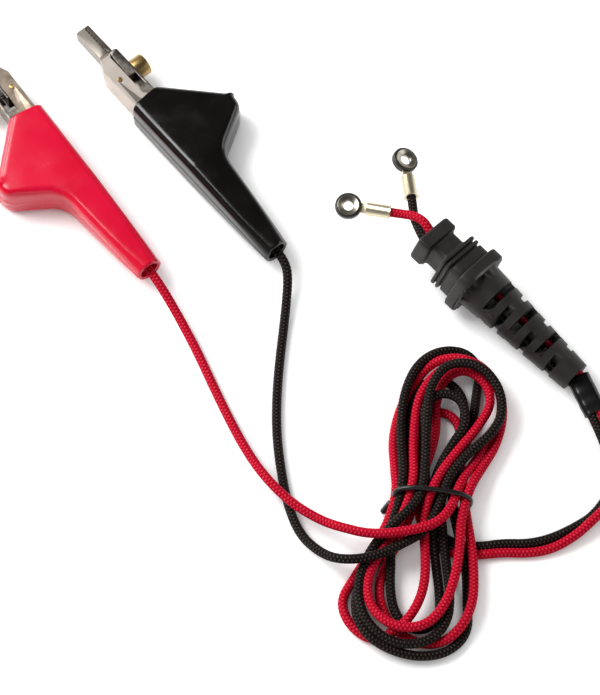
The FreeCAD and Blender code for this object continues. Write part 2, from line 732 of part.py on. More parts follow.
def hank_base(lap):
    """The innermost line of the hank, a waisted loop, and the way out of it, at a lap count."""
    angle = 2 * math.pi * lap
    sine = math.sin(angle)
    cosine = math.cos(angle)
    reach = top_reach if sine > 0 else bottom_reach
    fullness = top_fullness if sine > 0 else bottom_fullness
    u = reach * sine
    v = cosine * (waist_half + fullness * sine * sine)
    du = reach * cosine
    dv = -sine * (waist_half + fullness * sine * sine) + cosine * fullness * 2 * sine * cosine
    length = math.hypot(du, dv)
    return u, v, -dv / length, du / length


def hank_point(lap, place):
    """A cord's middle at a lap count. Slots go out, then in again on the lower layer, at a steady rate."""
    turning = hank_laps / 2
    slot = 2 * lap if lap < turning else 2 * (hank_laps - lap)
    low = smooth((lap - turning) / layer_change + 0.5)
    slot += layer_bulge * math.exp(-(1.6 * (lap - turning) / layer_change) ** 2)
    u, v, out_u, out_v = hank_base(lap)
    u += (slot + place) * slot_pitch * out_u
    v += (slot + place) * slot_pitch * out_v
    right = v > 0
    lean = top_shift * smooth(u / shift_at) + bottom_shift * smooth(-u / shift_at)
    v += waist_shift + lower_layer_shift * low + lean
    if right:
        knots = [(-33, 0), (-17, exit_lift), (-9, exit_lift), (-2, waist_lift), (3, waist_lift), (18, 0)]
    else:
        knots = [(-18, 0), (-3, waist_lift), (3, waist_lift), (18, 0)]
    lift = between(u, knots)
    z = cord_radius + hank_rest + layer_pitch * (1 - low) + lift
    heading = math.radians(hank_heading)
    along_u = Vector(math.cos(heading), math.sin(heading), 0)
    along_v = Vector(math.sin(heading), -math.cos(heading), 0)
    return at(hank_waist) + along_u * u + along_v * v + Vector(0, 0, z)


def hank_tangent(lap, place):
    step = 1e-4
    return (hank_point(lap + step, place) - hank_point(lap - step, place)).normalize()


def least_gap(points, others, apart):
    """Least distance between two lines of points whose places along them differ by more than apart."""
    pairs = [(p, q) for i, p in enumerate(points) for j, q in enumerate(others) if abs(i - j) > apart]
    return min(p.distanceToPoint(q) for p, q in pairs)


def hank_laps_by_length(place):
    """Lap counts a steady length apart along one cord of the hank."""
    fine = [hank_laps * i / 700 for i in range(701)]
    points = [hank_point(lap, place) for lap in fine]
    lengths = [0.0]
    for i in range(700):
        lengths.append(lengths[-1] + points[i].distanceToPoint(points[i + 1]))
    count = round(lengths[-1] / hank_step)
    laps = []
    for k in range(count + 1):
        wanted = lengths[-1] * k / count
        laps.append(fine[min(range(701), key=lambda i: abs(lengths[i] - wanted))])
    gap = least_gap(points, points, 60) - cord_diameter
    print("hank cord %d length %.0f least gap to itself %.2f" % (place, lengths[-1], gap))
    return laps


def hank(place):
    """One cord's turns in the hank, a single tube on biarcs."""
    laps = hank_laps_by_length(place)
    points = [hank_point(lap, place) for lap in laps]
    tangents = [hank_tangent(lap, place) for lap in laps]
    return curve_pipe(points, tangents, cord_diameter)


def route_tube(name, points):
    """A cord stretch of straight runs and tangent arcs, each arc as large as its two runs allow."""
    edges = []
    here = points[0]
    radii = []
    for i in range(1, len(points) - 1):
        back = points[i - 1] - points[i]
        ahead = points[i + 1] - points[i]
        turn = math.pi - back.getAngle(ahead)
        reach = 0.45 * min(back.Length, ahead.Length)
        radius = reach / math.tan(turn / 2)
        radii.append(radius)
        enter = points[i] + back.normalize() * reach
        leave = points[i] + ahead.normalize() * reach
        inward = ((enter - points[i]) + (leave - points[i])).normalize()
        middle = points[i] + inward * (radius / math.cos(turn / 2) - radius)
        edges.append(Part.LineSegment(here, enter).toShape())
        edges.append(Part.Arc(enter, middle, leave).toShape())
        here = leave
    edges.append(Part.LineSegment(here, points[-1]).toShape())
    tube = pipe(edges, cord_diameter, points[0], points[1] - points[0])
    length = sum(edge.Length for edge in edges)
    section = math.pi * cord_radius ** 2
    tightest = min(radii) if radii else 0.0
    ratio = tube.Volume / (section * length)
    print("%s length %.1f tightest radius %.1f volume ratio %.4f" % (name, length, tightest, ratio))
    return tube


def hank_tie():
    """Rubber ring round the waist of the hank, with its small tab on the left."""
    half_section = tie_section / 2
    clear = cord_radius + tie_play + half_section
    left = waist_shift - waist_half - (hank_laps + 0.5) * slot_pitch - clear
    right = waist_shift + lower_layer_shift + waist_half + (hank_laps + 0.5) * slot_pitch + clear
    low = half_section
    high = cord_radius + hank_rest + layer_pitch + waist_lift + clear
    corner = clear + tie_play / 2
    corners = [Vector(left, low, 0), Vector(right, low, 0), Vector(right, high, 0), Vector(left, high, 0)]
    wire = rounded_wire(corners, [corner] * 4)
    first = wire.Edges[0]
    start = first.FirstParameter
    profile = Part.Wire(Part.makeCircle(half_section, first.valueAt(start), first.tangentAt(start)))
    ring = wire.makePipeShell([profile], True, False)
    tab_corner = Vector(left - tie_tab.x, (low + high) / 2, -tie_tab.z / 2)
    tab = Part.makeBox(tie_tab.x, tie_tab.y, tie_tab.z, tab_corner)
    ring = ring.fuse(tab).removeSplitter()
    heading = math.radians(hank_heading)
    axis_v = Vector(math.sin(heading), -math.cos(heading), 0)
    axis_u = Vector(math.cos(heading), math.sin(heading), 0)
    frame = FreeCAD.Matrix(axis_v.x, 0, -axis_u.x, 0, axis_v.y, 0, -axis_u.y, 0, 0, 1, 0, 0, 0, 0, 0, 1)
    ring.Placement = Placement(at(hank_waist), Placement(frame).Rotation)
    return ring


def placed(shape, placement):
    copy = shape.copy()
    copy.Placement = placement.multiply(copy.Placement)
    return copy


def build():
    nodes = {}
    clip = {
        "boot": boot(), "fixed_jaw": fixed_jaw(), "moving_jaw": moving_jaw(), "pivot_pin": pivot_pin(),
        "jaw_spring": jaw_spring(), "nail_cup": nail_cup(), "nails": nails(), "anvil": anvil(),
        "anvil_rivet": anvil_rivet(),
    }
    relief_at = relief_placement()
    sleeve_at = along(at(sleeve_front), at(sleeve_rear), sleeve_roll)
    nodes["strain_relief"] = placed(strain_relief(), relief_at)
    nodes["cord_sleeve"] = placed(cord_sleeve(), sleeve_at)
    nodes["hank_tie"] = hank_tie()
    red_end = terminal_placement(red_terminal_mouth, red_terminal_heading, red_terminal_roll)
    black_end = terminal_placement(black_terminal_mouth, black_terminal_heading, black_terminal_roll)
    leads = [
        ("red", red_clip_pivot, red_clip_heading, False, red_clip_route, 1, red_relief_route, 1,
         red_tail_route, red_end),
        ("black", black_clip_pivot, black_clip_heading, True, black_clip_route, 0, black_relief_route, -1,
         black_tail_route, black_end),
    ]
    for name, pivot, heading, flipped, clip_route, place, relief_route, side, tail_route, terminal_at in leads:
        clip_at = clip_placement(pivot, heading, flipped)
        for piece, shape in clip.items():
            nodes[name + "_" + piece] = placed(shape, clip_at)
        nodes[name + "_ring_terminal"] = placed(ring_terminal(), terminal_at)
        nodes[name + "_terminal_collar"] = placed(terminal_collar(), terminal_at)

        crimp_end = clip_at.multVec(Vector(crimp_front, crimp_y, 0))
        tail_end = clip_at.multVec(Vector(boot_tail_x, crimp_y, 0))
        clear_of_boot = clip_at.multVec(Vector(boot_tail_x - cord_diameter, crimp_y, 0))
        nodes[name + "_boot_lead"] = rod(cord_diameter, crimp_end, tail_end)

        start = hank_point(0, place)
        end = hank_point(hank_laps, place)
        before = start - hank_tangent(0, place) * hank_lead_in
        after = end + hank_tangent(hank_laps, place) * hank_lead_out
        route = [tail_end, clear_of_boot] + [at(p) for p in clip_route] + [before, start]
        nodes[name + "_clip_run"] = route_tube(name + "_clip_run", route)
        nodes[name + "_hank"] = hank(place)

        apart = math.radians(pair_roll)
        offset = Vector(0, math.cos(apart), math.sin(apart)) * (pair_half * side)
        bore_rear = relief_at.multVec(offset + Vector(relief_length - 2 * cord_diameter, 0, 0))
        behind = relief_at.multVec(offset + Vector(relief_length + cord_play, 0, 0))
        bore_front = relief_at.multVec(offset + Vector(2 * cord_diameter, 0, 0))
        ahead = relief_at.multVec(offset + Vector(-cord_play, 0, 0))
        sleeve_offset = Vector(0, pair_half, 0) * side
        sleeve_in = sleeve_at.multVec(sleeve_offset + Vector(sleeve_length + cord_diameter, 0, 0))
        sleeve_out = sleeve_at.multVec(sleeve_offset + Vector(-cord_play, 0, 0))
        route = [end, after] + [at(p) for p in relief_route] + [sleeve_in, sleeve_out, behind, bore_rear]
        nodes[name + "_relief_run"] = route_tube(name + "_relief_run", route)
        nodes[name + "_relief_lead"] = rod(cord_diameter, bore_rear, bore_front)
        mouth = terminal_at.multVec(Vector(-cord_diameter, 0, 0))
        grip = terminal_at.multVec(Vector(barrel_grip, 0, 0))
        route = [bore_front, ahead] + [at(p) for p in tail_route] + [mouth, grip]
        nodes[name + "_terminal_tail"] = route_tube(name + "_terminal_tail", route)
    return nodes


def main():
    os.makedirs("parts", exist_ok=True)
    for name, shape in build().items():
        shape.exportStep("parts/" + name + ".step")


main()
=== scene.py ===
"""Two-lead test cord set: spring clips in boots, braided cords in a tied hank, a strain relief and ring eyes.

Metres, +Z up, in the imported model's own frame. Layout points are in millimetres, and the model's origin
lies at LAYOUT_MIDDLE among them. A piece's own points are local millimetres, and its Seat carries them to
the layout.
"""
import math

import bmesh
import bpy
import numpy as np
from mathutils import Matrix


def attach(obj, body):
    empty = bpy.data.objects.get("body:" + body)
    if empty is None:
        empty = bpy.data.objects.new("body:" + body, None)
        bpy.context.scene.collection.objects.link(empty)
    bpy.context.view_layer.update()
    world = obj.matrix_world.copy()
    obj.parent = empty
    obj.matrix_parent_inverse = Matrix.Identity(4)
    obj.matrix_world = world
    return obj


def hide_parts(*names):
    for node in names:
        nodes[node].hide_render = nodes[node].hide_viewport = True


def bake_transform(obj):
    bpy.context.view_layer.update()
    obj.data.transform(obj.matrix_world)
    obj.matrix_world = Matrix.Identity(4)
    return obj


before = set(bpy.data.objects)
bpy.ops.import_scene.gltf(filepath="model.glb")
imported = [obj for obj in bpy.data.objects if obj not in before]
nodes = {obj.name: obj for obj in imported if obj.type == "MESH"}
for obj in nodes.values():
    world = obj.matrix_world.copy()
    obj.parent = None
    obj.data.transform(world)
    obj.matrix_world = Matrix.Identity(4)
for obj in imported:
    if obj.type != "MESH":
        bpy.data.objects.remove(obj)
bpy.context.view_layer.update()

MM = 0.001
LAYOUT_MIDDLE = np.array([-11.09, 46.37, 0.0])
UP = np.array([0.0, 0.0, 1.0])
FULL_TURN = 2 * math.pi
MERGE_DISTANCE = 1e-6
CUT_TOLERANCE = 1e-7
LEAST_STEP = 1e-9
LATHE_SIDES = 64


# Placing

def layout(points):
    """Layout points in millimetres, moved into the model's frame and given in metres."""
    return (np.asarray(points, float) - LAYOUT_MIDDLE) * MM


def turn(axis, degrees):
    """Rotation matrix about the x, y or z axis."""
    cosine = math.cos(math.radians(degrees))
    sine = math.sin(math.radians(degrees))
    first, second = {"x": (1, 2), "y": (2, 0), "z": (0, 1)}[axis]
    matrix = np.eye(3)
    matrix[first, first] = cosine
    matrix[first, second] = -sine
    matrix[second, first] = sine
    matrix[second, second] = cosine
    return matrix


class Seat:
    """Where a piece's own frame sits in the layout: point = origin + turned local point, in millimetres."""

    def __init__(self, origin, matrix):
        self.origin = np.asarray(origin, float)
        self.matrix = matrix

    def out(self, points):
        """Local millimetres to layout millimetres."""
        return self.origin + np.asarray(points, float) @ self.matrix.T

    def model(self, points):
        """Local millimetres to metres in the model's frame."""
        return layout(self.out(points))

    def local(self, points):
        """Metres in the model's frame to local millimetres."""
        return (np.asarray(points, float) / MM + LAYOUT_MIDDLE - self.origin) @ self.matrix


def aligned(start, end, roll):
    """The seat whose x axis runs from start to end, with z upright and then rolled about x."""
    start = np.asarray(start, float)
    axis = unit(np.asarray(end, float) - start)
    upright = unit(UP - axis * axis[2])
    side = np.cross(upright, axis)
    return Seat(start, np.stack([axis, side, upright], 1) @ turn("x", roll))


# Formulas

def smoothstep(x):
    """0 below 0, 1 above 1, 3x^2 - 2x^3 between."""
    x = np.clip(x, 0.0, 1.0)
    return x * x * (3 - 2 * x)


def signed_power(values, power):
    """The size of each value raised to a power, its sign kept."""
    return np.sign(values) * np.abs(values) ** power


def unit(vectors):
    """Each row divided by its length."""
    return vectors / np.linalg.norm(vectors, axis=-1, keepdims=True)


def evenly(line, step):
    """A line's points respaced evenly, about one step apart."""
    far = np.concatenate([[0], np.cumsum(np.linalg.norm(np.diff(line, axis=0), axis=1))])
    keep = np.concatenate([[True], np.diff(far) > LEAST_STEP])
    run = np.linspace(0, far[-1], int(round(far[-1] / step)) + 1)
    return np.stack([np.interp(run, far[keep], line[keep, k]) for k in range(3)], -1)


def frames(line):
    """Side and up vectors square to a line, the side level: side = tangent x Z, up = side x tangent."""
    tangent = unit(np.gradient(line, axis=0))
    side = unit(np.cross(tangent, UP))
    return side, np.cross(side, tangent)


def tube(line, side, up, radius, around):
    """Rings of points round a line: line + radius (cos t side + sin t up)."""
    angle = np.linspace(0, FULL_TURN, around, endpoint=False)
    ring = np.cos(angle)[:, None] * side[:, None] + np.sin(angle)[:, None] * up[:, None]
    return line[:, None] + radius * ring


# Meshing

def grid_quads(rows, columns, close_rows=False, close_columns=False):
    """Quads of a grid of points, numbered row by row, wrapped round where a direction closes."""
    row, column = np.meshgrid(
        np.arange(rows if close_rows else rows - 1),
        np.arange(columns if close_columns else columns - 1),
        indexing="ij",
    )
    next_row = (row + 1) % rows
    next_column = (column + 1) % columns
    corners = [(row, column), (row, next_column), (next_row, next_column), (next_row, column)]
    return np.stack([a_row * columns + a_column for a_row, a_column in corners], -1).reshape(-1, 4)


def grid_uv(u, v):
    """UVs of every quad corner of a grid whose rows have v (one more than the quads) and columns have u."""
    low_u = u[None, :-1]
    high_u = u[None, 1:]
    low_v = v[:-1, None]
    high_v = v[1:, None]
    corners = [(low_u, low_v), (high_u, low_v), (high_u, high_v), (low_u, high_v)]
    return np.stack([np.stack(np.broadcast_arrays(*corner), -1) for corner in corners], 2).reshape(-1, 4, 2)


def make_piece(name, points, quads, uv=None, extra=()):
    """A smooth mesh from an array of points, quads, any extra faces, and UVs given for each quad corner."""
    mesh = bpy.data.meshes.new(name)
    mesh.from_pydata(np.asarray(points).reshape(-1, 3), [], quads.tolist() + [list(face) for face in extra])
    mesh.polygons.foreach_set("use_smooth", np.ones(len(mesh.polygons), bool))
    if uv is not None:
        layer = mesh.uv_layers.new(name="wrap")
        flat = np.zeros((len(mesh.loops), 2), np.float32)
        flat[: uv.shape[0] * 4] = uv.reshape(-1, 2)
        layer.data.foreach_set("uv", flat.ravel())
    mesh.update()
    piece = bpy.data.objects.new(name, mesh)
    bpy.context.scene.collection.objects.link(piece)
    return piece


def recalculated(piece):
    """The piece with its faces turned outwards."""
    shell = bmesh.new()
    shell.from_mesh(piece.data)
    bmesh.ops.recalc_face_normals(shell, faces=shell.faces)
    shell.to_mesh(piece.data)
    shell.free()
    return piece


def merge(mesh):
    """Doubled points of a mesh joined, and faces that this flattens to nothing removed."""
    shell = bmesh.new()
    shell.from_mesh(mesh)
    bmesh.ops.remove_doubles(shell, verts=shell.verts, dist=MERGE_DISTANCE)
    bmesh.ops.dissolve_degenerate(shell, dist=MERGE_DISTANCE, edges=shell.edges)
    shell.to_mesh(mesh)
    shell.free()


def lathe(name, seat, along, radius):
    """A profile of (along, radius) turned round the local x axis.

    Where the radius is 0 an end closes on the axis. A profile that ends where it starts makes a closed ring.
    """
    along = np.asarray(along, float)
    radius = np.asarray(radius, float)
    angle = np.linspace(0, FULL_TURN, LATHE_SIDES, endpoint=False)
    across = radius[:, None] * np.cos(angle)
    upright = radius[:, None] * np.sin(angle)
    grid = np.stack(np.broadcast_arrays(along[:, None], across, upright), -1)
    run = np.concatenate([[0], np.cumsum(np.hypot(np.diff(along), np.diff(radius)))])
    uv = grid_uv(np.linspace(0, 1, LATHE_SIDES + 1), run)
    piece = make_piece(name, seat.model(grid), grid_quads(len(along), LATHE_SIDES, close_columns=True), uv)
    merge(piece.data)
    return recalculated(piece)


SHARP_ANGLE = math.radians(35)


def eased_copy(node, width):
    """A merged copy of a CAD node's mesh, curved faces shaded smooth, edges eased by a live bevel.

    The width is in millimetres, and a width of 0 gives no bevel.
    """
    mesh = nodes[node].data.copy()
    mesh.materials.clear()
    merge(mesh)
    mesh.polygons.foreach_set("use_smooth", np.ones(len(mesh.polygons), bool))
    mesh.set_sharp_from_angle(angle=SHARP_ANGLE)
    piece = bpy.data.objects.new(node + "_eased", mesh)
    bpy.context.scene.collection.objects.link(piece)
    if not width:
        return piece
    bevel = piece.modifiers.new("eased_edges", "BEVEL")
    bevel.width = width * MM
    bevel.segments = 2
    bevel.limit_method = "ANGLE"
    bevel.angle_limit = SHARP_ANGLE
    bevel.harden_normals = True
    return piece


def trimmed(piece, seat, at):
    """The piece with all that lies below local x = at cut away and the cut closed."""
    shell = bmesh.new()
    shell.from_mesh(piece.data)
    whole = shell.verts[:] + shell.edges[:] + shell.faces[:]
    cut = bmesh.ops.bisect_plane(shell, geom=whole, dist=CUT_TOLERANCE, clear_inner=True,
                                 plane_co=seat.model((at, 0, 0)), plane_no=seat.matrix[:, 0])
    rim = [part for part in cut["geom_cut"] if isinstance(part, bmesh.types.BMEdge)]
    bmesh.ops.triangle_fill(shell, edges=rim, use_beauty=True)
    bmesh.ops.recalc_face_normals(shell, faces=shell.faces)
    shell.to_mesh(piece.data)
    shell.free()
    return piece


def dress(piece, body, finish, slot, *replaced):
    """Gives a piece its finish and the body it rides on, and hides the CAD nodes it stands for; the record
    slot is not used.
    """
    piece.data.materials.clear()
    piece.data.materials.append(finish)
    if body:
        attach(piece, body)
    if replaced:
        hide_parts(*replaced)
    return piece


# Finishes

BRAID_STRANDS = 4
FIBRES_PER_STRAND = 5


class Wire:
    """A socket in a material's nodes. Arithmetic on it adds Math nodes; node() adds any other node."""

    def __init__(self, tree, socket=None):
        self.tree = tree
        self.socket = socket

    def node(self, kind, settings=None, inputs=None, out=0):
        """A node of that type: settings first, then values or links for its sockets; returns one output."""
        made = self.tree.nodes.new(kind)
        for key, value in (settings or {}).items():
            setattr(made, key, value)
        for key, value in (inputs or {}).items():
            if isinstance(value, Wire):
                self.tree.links.new(value.socket, made.inputs[key])
            else:
                made.inputs[key].default_value = value
        return Wire(self.tree, made.outputs[out])

    def math(self, operation, *others):
        """A Math node on this value and any others."""
        return self.node("ShaderNodeMath", {"operation": operation}, dict(enumerate((self,) + others)))

    def after(self, operation, first):
        """A Math node whose first value is a plain number."""
        return self.node("ShaderNodeMath", {"operation": operation}, {0: first, 1: self})

    def __add__(self, other):
        return self.math("ADD", other)

    def __radd__(self, other):
        return self.after("ADD", other)

    def __sub__(self, other):
        return self.math("SUBTRACT", other)

    def __rsub__(self, other):
        return self.after("SUBTRACT", other)

    def __mul__(self, other):
        return self.math("MULTIPLY", other)

    def __rmul__(self, other):
        return self.after("MULTIPLY", other)

    def __pow__(self, other):
        return self.math("POWER", other)

    def ramped(self, low, high):
        """0 below low, 1 above high, smooth between."""
        settings = {"interpolation_type": "SMOOTHSTEP"}
        return self.node("ShaderNodeMapRange", settings, {0: self, 1: low, 2: high})

    def between(self, first, second):
        """Value that goes from first to second as this value goes from 0 to 1."""
        return self.node("ShaderNodeMix", {"data_type": "FLOAT"}, {0: self, 2: first, 3: second})

    def mixed(self, first, second):
        """Colour that goes from first to second as this value goes from 0 to 1."""
        return self.node("ShaderNodeMix", {"data_type": "RGBA"}, {0: self, 6: first, 7: second}, 2)

    def noise(self, scale, detail=3.0, roughness=0.55):
        """Noise over this vector, about 0 to 1."""
        inputs = {"Vector": self, "Scale": scale, "Detail": detail, "Roughness": roughness}
        return self.node("ShaderNodeTexNoise", None, inputs)

    def stretched(self, by):
        """This vector scaled along each axis."""
        return self.node("ShaderNodeVectorMath", {"operation": "MULTIPLY"}, {0: self, 1: by})

    def bump(self, height, strength, distance):
        """Surface normal raised by a height."""
        inputs = {"Height": height, "Strength": strength, "Distance": distance}
        return self.node("ShaderNodeBump", None, inputs)


def new_finish(name):
    """A material with only a Principled shader; returns it, its shader node and a wire to start from."""
    finish = bpy.data.materials.new(name)
    finish.use_nodes = True
    tree = finish.node_tree
    tree.nodes.clear()
    shader = tree.nodes.new("ShaderNodeBsdfPrincipled")
    output = tree.nodes.new("ShaderNodeOutputMaterial")
    tree.links.new(shader.outputs[0], output.inputs[0])
    return finish, shader, Wire(tree)


def feed(shader, **sockets):
    """Sets or links the shader's sockets by name, with _ for a space."""
    for name, value in sockets.items():
        socket = shader.inputs[name.replace("_", " ")]
        if isinstance(value, Wire):
            value.tree.links.new(value.socket, socket)
        else:
            socket.default_value = value


def object_place(start):
    """The piece's own coordinates."""
    return start.node("ShaderNodeTexCoord", out="Object")


def vinyl(name, deep, face, sheen, haze):
    """Dipped vinyl: slow colour drift, a soft smear in the gloss and a faint orange-peel surface."""
    finish, shader, start = new_finish(name)
    place = object_place(start)
    drift = place.noise(scale=55.0, detail=2.0)
    peel = place.noise(scale=900.0, detail=2.0)
    smear = place.noise(scale=140.0, detail=4.0, roughness=0.6)
    feed(shader, Base_Color=drift.ramped(low=0.3, high=0.72).mixed(deep, face), IOR=1.52,
         Roughness=sheen + smear.ramped(low=0.42, high=0.75) * haze,
         Normal=start.bump(peel, strength=0.10, distance=0.00012))
    return finish


def plated(name, bright, dull, roughness, lines, nose=None, cloud_scale=110.0):
    """Plated sheet metal: fine rolled lines, a cloud of tarnish; nose is the colour where "nose" is 1."""
    finish, shader, start = new_finish(name)
    place = object_place(start)
    rolled = place.stretched(lines).noise(scale=1.0)
    cloud = place.noise(scale=cloud_scale, roughness=0.5)
    colour = (cloud.ramped(low=0.3, high=0.75) * 0.7 + rolled * 0.3).mixed(bright, dull)
    smooth, rough = roughness
    if nose:
        worn = start.node("ShaderNodeAttribute", {"attribute_name": "nose"}, out="Fac")
        colour = worn.mixed(colour, nose)
    feed(shader, Base_Color=colour, Metallic=1.0,
         Roughness=smooth + (rough - smooth) * (rolled * 0.7 + cloud * 0.3),
         Normal=start.bump(rolled, strength=0.06, distance=0.00004))
    return finish


def rubber(name, dark, grey, rough, grain):
    """Moulded rubber: fine grain in the bump, dusty speckles and a slow drift of tone."""
    finish, shader, start = new_finish(name)
    place = object_place(start)
    drift = place.noise(scale=120.0)
    fine = place.noise(scale=grain, roughness=0.65)
    dust = place.noise(scale=grain * 0.55, detail=2.0).ramped(low=0.62, high=0.78)
    tone = drift.ramped(low=0.3, high=0.75) * 0.75 + dust * 0.45
    feed(shader, Base_Color=tone.mixed(dark, grey), Roughness=rough + fine * 0.12 - dust * 0.05,
         Normal=start.bump(fine, strength=0.35, distance=0.00008))
    return finish


def braid(name, painted_gap_shade, thread, painted_glint_colour):
    """Braided jacket from the cord's UVs (u once round, v in braid steps).

    Two sets of strands wind at a = n u + v and b = n u - v. The parity of floor(a) + floor(b) says which set
    lies on top of a diamond. A top strand is round across its width and dips at its ends:
    height = |sin pi b| |sin pi a|^0.5, or the same with a and b changed over.
    """
    finish, shader, start = new_finish(name)
    wrap = start.node("ShaderNodeUVMap", {"uv_map": "wrap"})
    around = start.node("ShaderNodeSeparateXYZ", None, {0: wrap}, 0) * BRAID_STRANDS
    run = start.node("ShaderNodeSeparateXYZ", None, {0: wrap}, 1)
    a = around + run
    b = around - run
    round_a = (a * math.pi).math("SINE").math("ABSOLUTE")
    round_b = (b * math.pi).math("SINE").math("ABSOLUTE")
    over = (a.math("FLOOR") + b.math("FLOOR")).math("PINGPONG", 1.0)
    height = over.between(round_b * round_a ** 0.5, round_a * round_b ** 0.5)
    fibres = over.between(b, a) * (FULL_TURN * FIBRES_PER_STRAND)
    lines = fibres.math("SINE") * 0.5 + 0.5
    # Noise that scatters the strength of the painted glints from place to place.
    glint_scatter = object_place(start).noise(scale=420.0)
    # Painted shade: the colour falls from the thread colour to the darker gap colour down into the dips
    # between strands.
    colour = (height.ramped(low=0.08, high=0.75) * (0.86 + 0.14 * lines)).mixed(painted_gap_shade, thread)
    # Painted highlight: a pale glint colour laid over the tops of the strands.
    painted_glint_strength = height.ramped(low=0.68, high=1.0) * (0.15 + 1.3 * glint_scatter) * (0.75 + 0.25 * lines)
    feed(shader, Base_Color=painted_glint_strength.mixed(colour, painted_glint_colour), Roughness=0.62 - 0.12 * height,
         Specular_IOR_Level=0.08, Normal=start.bump(height + 0.10 * lines, strength=0.55, distance=0.00022))
    return finish


RED_VINYL = vinyl("red_vinyl", deep=(0.78, 0.004, 0.034, 1), face=(0.86, 0.007, 0.048, 1),
                  sheen=0.18, haze=0.10)
BLACK_VINYL = vinyl("black_vinyl", deep=(0.0042, 0.0034, 0.0030, 1), face=(0.0075, 0.0062, 0.0056, 1),
                    sheen=0.16, haze=0.10)
SLEEVE_PLASTIC = vinyl("sleeve_plastic", deep=(0.0045, 0.0045, 0.0045, 1), face=(0.009, 0.0085, 0.0085, 1),
                       sheen=0.18, haze=0.12)

JAW_LINES = (700.0, 700.0, 4000.0)
TERMINAL_LINES = (1500.0, 1500.0, 2500.0)
NICKEL = plated("nickel", bright=(0.66, 0.59, 0.53, 1), dull=(0.50, 0.44, 0.39, 1), roughness=(0.40, 0.56),
                lines=JAW_LINES, nose=(0.34, 0.31, 0.27, 1))
# The moving jaw's nickel: a darker copy of the plated finish with a fine mottle of tarnish, darkened further
# as painted shade for the jaw lying low behind the fixed one; its nose, darker still, is also painted shade.
TARNISH_AND_SHADE_NICKEL = plated("tarnish_and_shade_nickel", bright=(0.44, 0.40, 0.355, 1), dull=(0.10, 0.088, 0.075, 1),
                   roughness=(0.26, 0.46), lines=(1800.0, 1800.0, 1800.0), nose=(0.13, 0.115, 0.095, 1),
                   cloud_scale=700.0)
BRONZED = plated("bronzed_nickel", bright=(0.40, 0.33, 0.26, 1), dull=(0.15, 0.115, 0.085, 1),
                 roughness=(0.30, 0.48), lines=JAW_LINES, nose=(0.24, 0.205, 0.165, 1), cloud_scale=300.0)
STEEL = plated("steel", bright=(0.42, 0.40, 0.38, 1), dull=(0.28, 0.26, 0.24, 1), roughness=(0.26, 0.42),
               lines=(2500.0, 2500.0, 2500.0))
BRASS = plated("brass", bright=(0.62, 0.43, 0.18, 1), dull=(0.40, 0.25, 0.10, 1), roughness=(0.28, 0.44),
               lines=(900.0, 900.0, 5000.0))
TINNED = plated("tinned_brass", bright=(0.74, 0.66, 0.48, 1), dull=(0.60, 0.52, 0.36, 1),
                roughness=(0.30, 0.44), lines=TERMINAL_LINES)
SILVER = plated("silvered", bright=(0.50, 0.465, 0.39, 1), dull=(0.26, 0.235, 0.185, 1),
                roughness=(0.24, 0.40), lines=TERMINAL_LINES)

RELIEF_RUBBER = rubber("relief_rubber", dark=(0.0105, 0.0087, 0.0073, 1), grey=(0.028, 0.0240, 0.0205, 1),
                       rough=0.50, grain=2600.0)
TIE_RUBBER = rubber("tie_rubber", dark=(0.009, 0.009, 0.009, 1), grey=(0.022, 0.022, 0.022, 1),
                    rough=0.26, grain=3200.0)
COLLAR_RUBBER = rubber("collar_rubber", dark=(0.018, 0.016, 0.0125, 1), grey=(0.056, 0.051, 0.040, 1),
                       rough=0.30, grain=3000.0)

# In each braid the gap colour is painted shade between the strands and the glint colour a painted highlight
# on their tops.
RED_BRAID = braid("red_braid", painted_gap_shade=(0.42, 0.0006, 0.014, 1), thread=(0.70, 0.0014, 0.028, 1),
                  painted_glint_colour=(1.0, 0.075, 0.14, 1))
BLACK_BRAID = braid("black_braid", painted_gap_shade=(0.004, 0.0024, 0.0019, 1), thread=(0.0150, 0.0095, 0.0080, 1),
                    painted_glint_colour=(0.112, 0.090, 0.078, 1))


# Seats of the pieces, in layout millimetres

CLIP_MIDDLE = 6.5
CLIPS = {
    "red": Seat((-84.8, 73.0, CLIP_MIDDLE), turn("z", 125.9)),
    "black": Seat((-46.6, 79.0, CLIP_MIDDLE), turn("z", 130.3) @ turn("x", 180)),
}
RELIEF = Seat((38.7, 31.4, 12.641), turn("z", -44.7) @ turn("y", 7.162) @ turn("x", -14.0))
SLEEVE = aligned((84.2, -14.1, 4.6), (88.8, -24.1, 3.6), 15.0)
TERMINALS = {
    "red": Seat((27.6, 40.2, 11.2), turn("z", 170.5) @ turn("x", -6.0)),
    "black": Seat((34.2, 46.2, 9.4), turn("z", 98.0) @ turn("x", 24.0)),
}
HANK_WAIST = np.array([39.05, -50.3, 0.0])
HANK_HEADING = math.radians(81.4)
HANK_ALONG = np.array([math.cos(HANK_HEADING), math.sin(HANK_HEADING), 0.0])
HANK_ACROSS = np.array([math.sin(HANK_HEADING), -math.cos(HANK_HEADING), 0.0])


# Cords

CORD_DIAMETER = 2.8
BRAID_STEP = 1.15
RINGS_PER_STEP = 2
POINTS_PER_STRAND = 8
BRAID_RELIEF = 0.06
SPLINE_STEPS = 24
CORD_STRETCHES = ("boot_lead", "clip_run", "hank", "relief_run", "relief_lead", "terminal_tail")

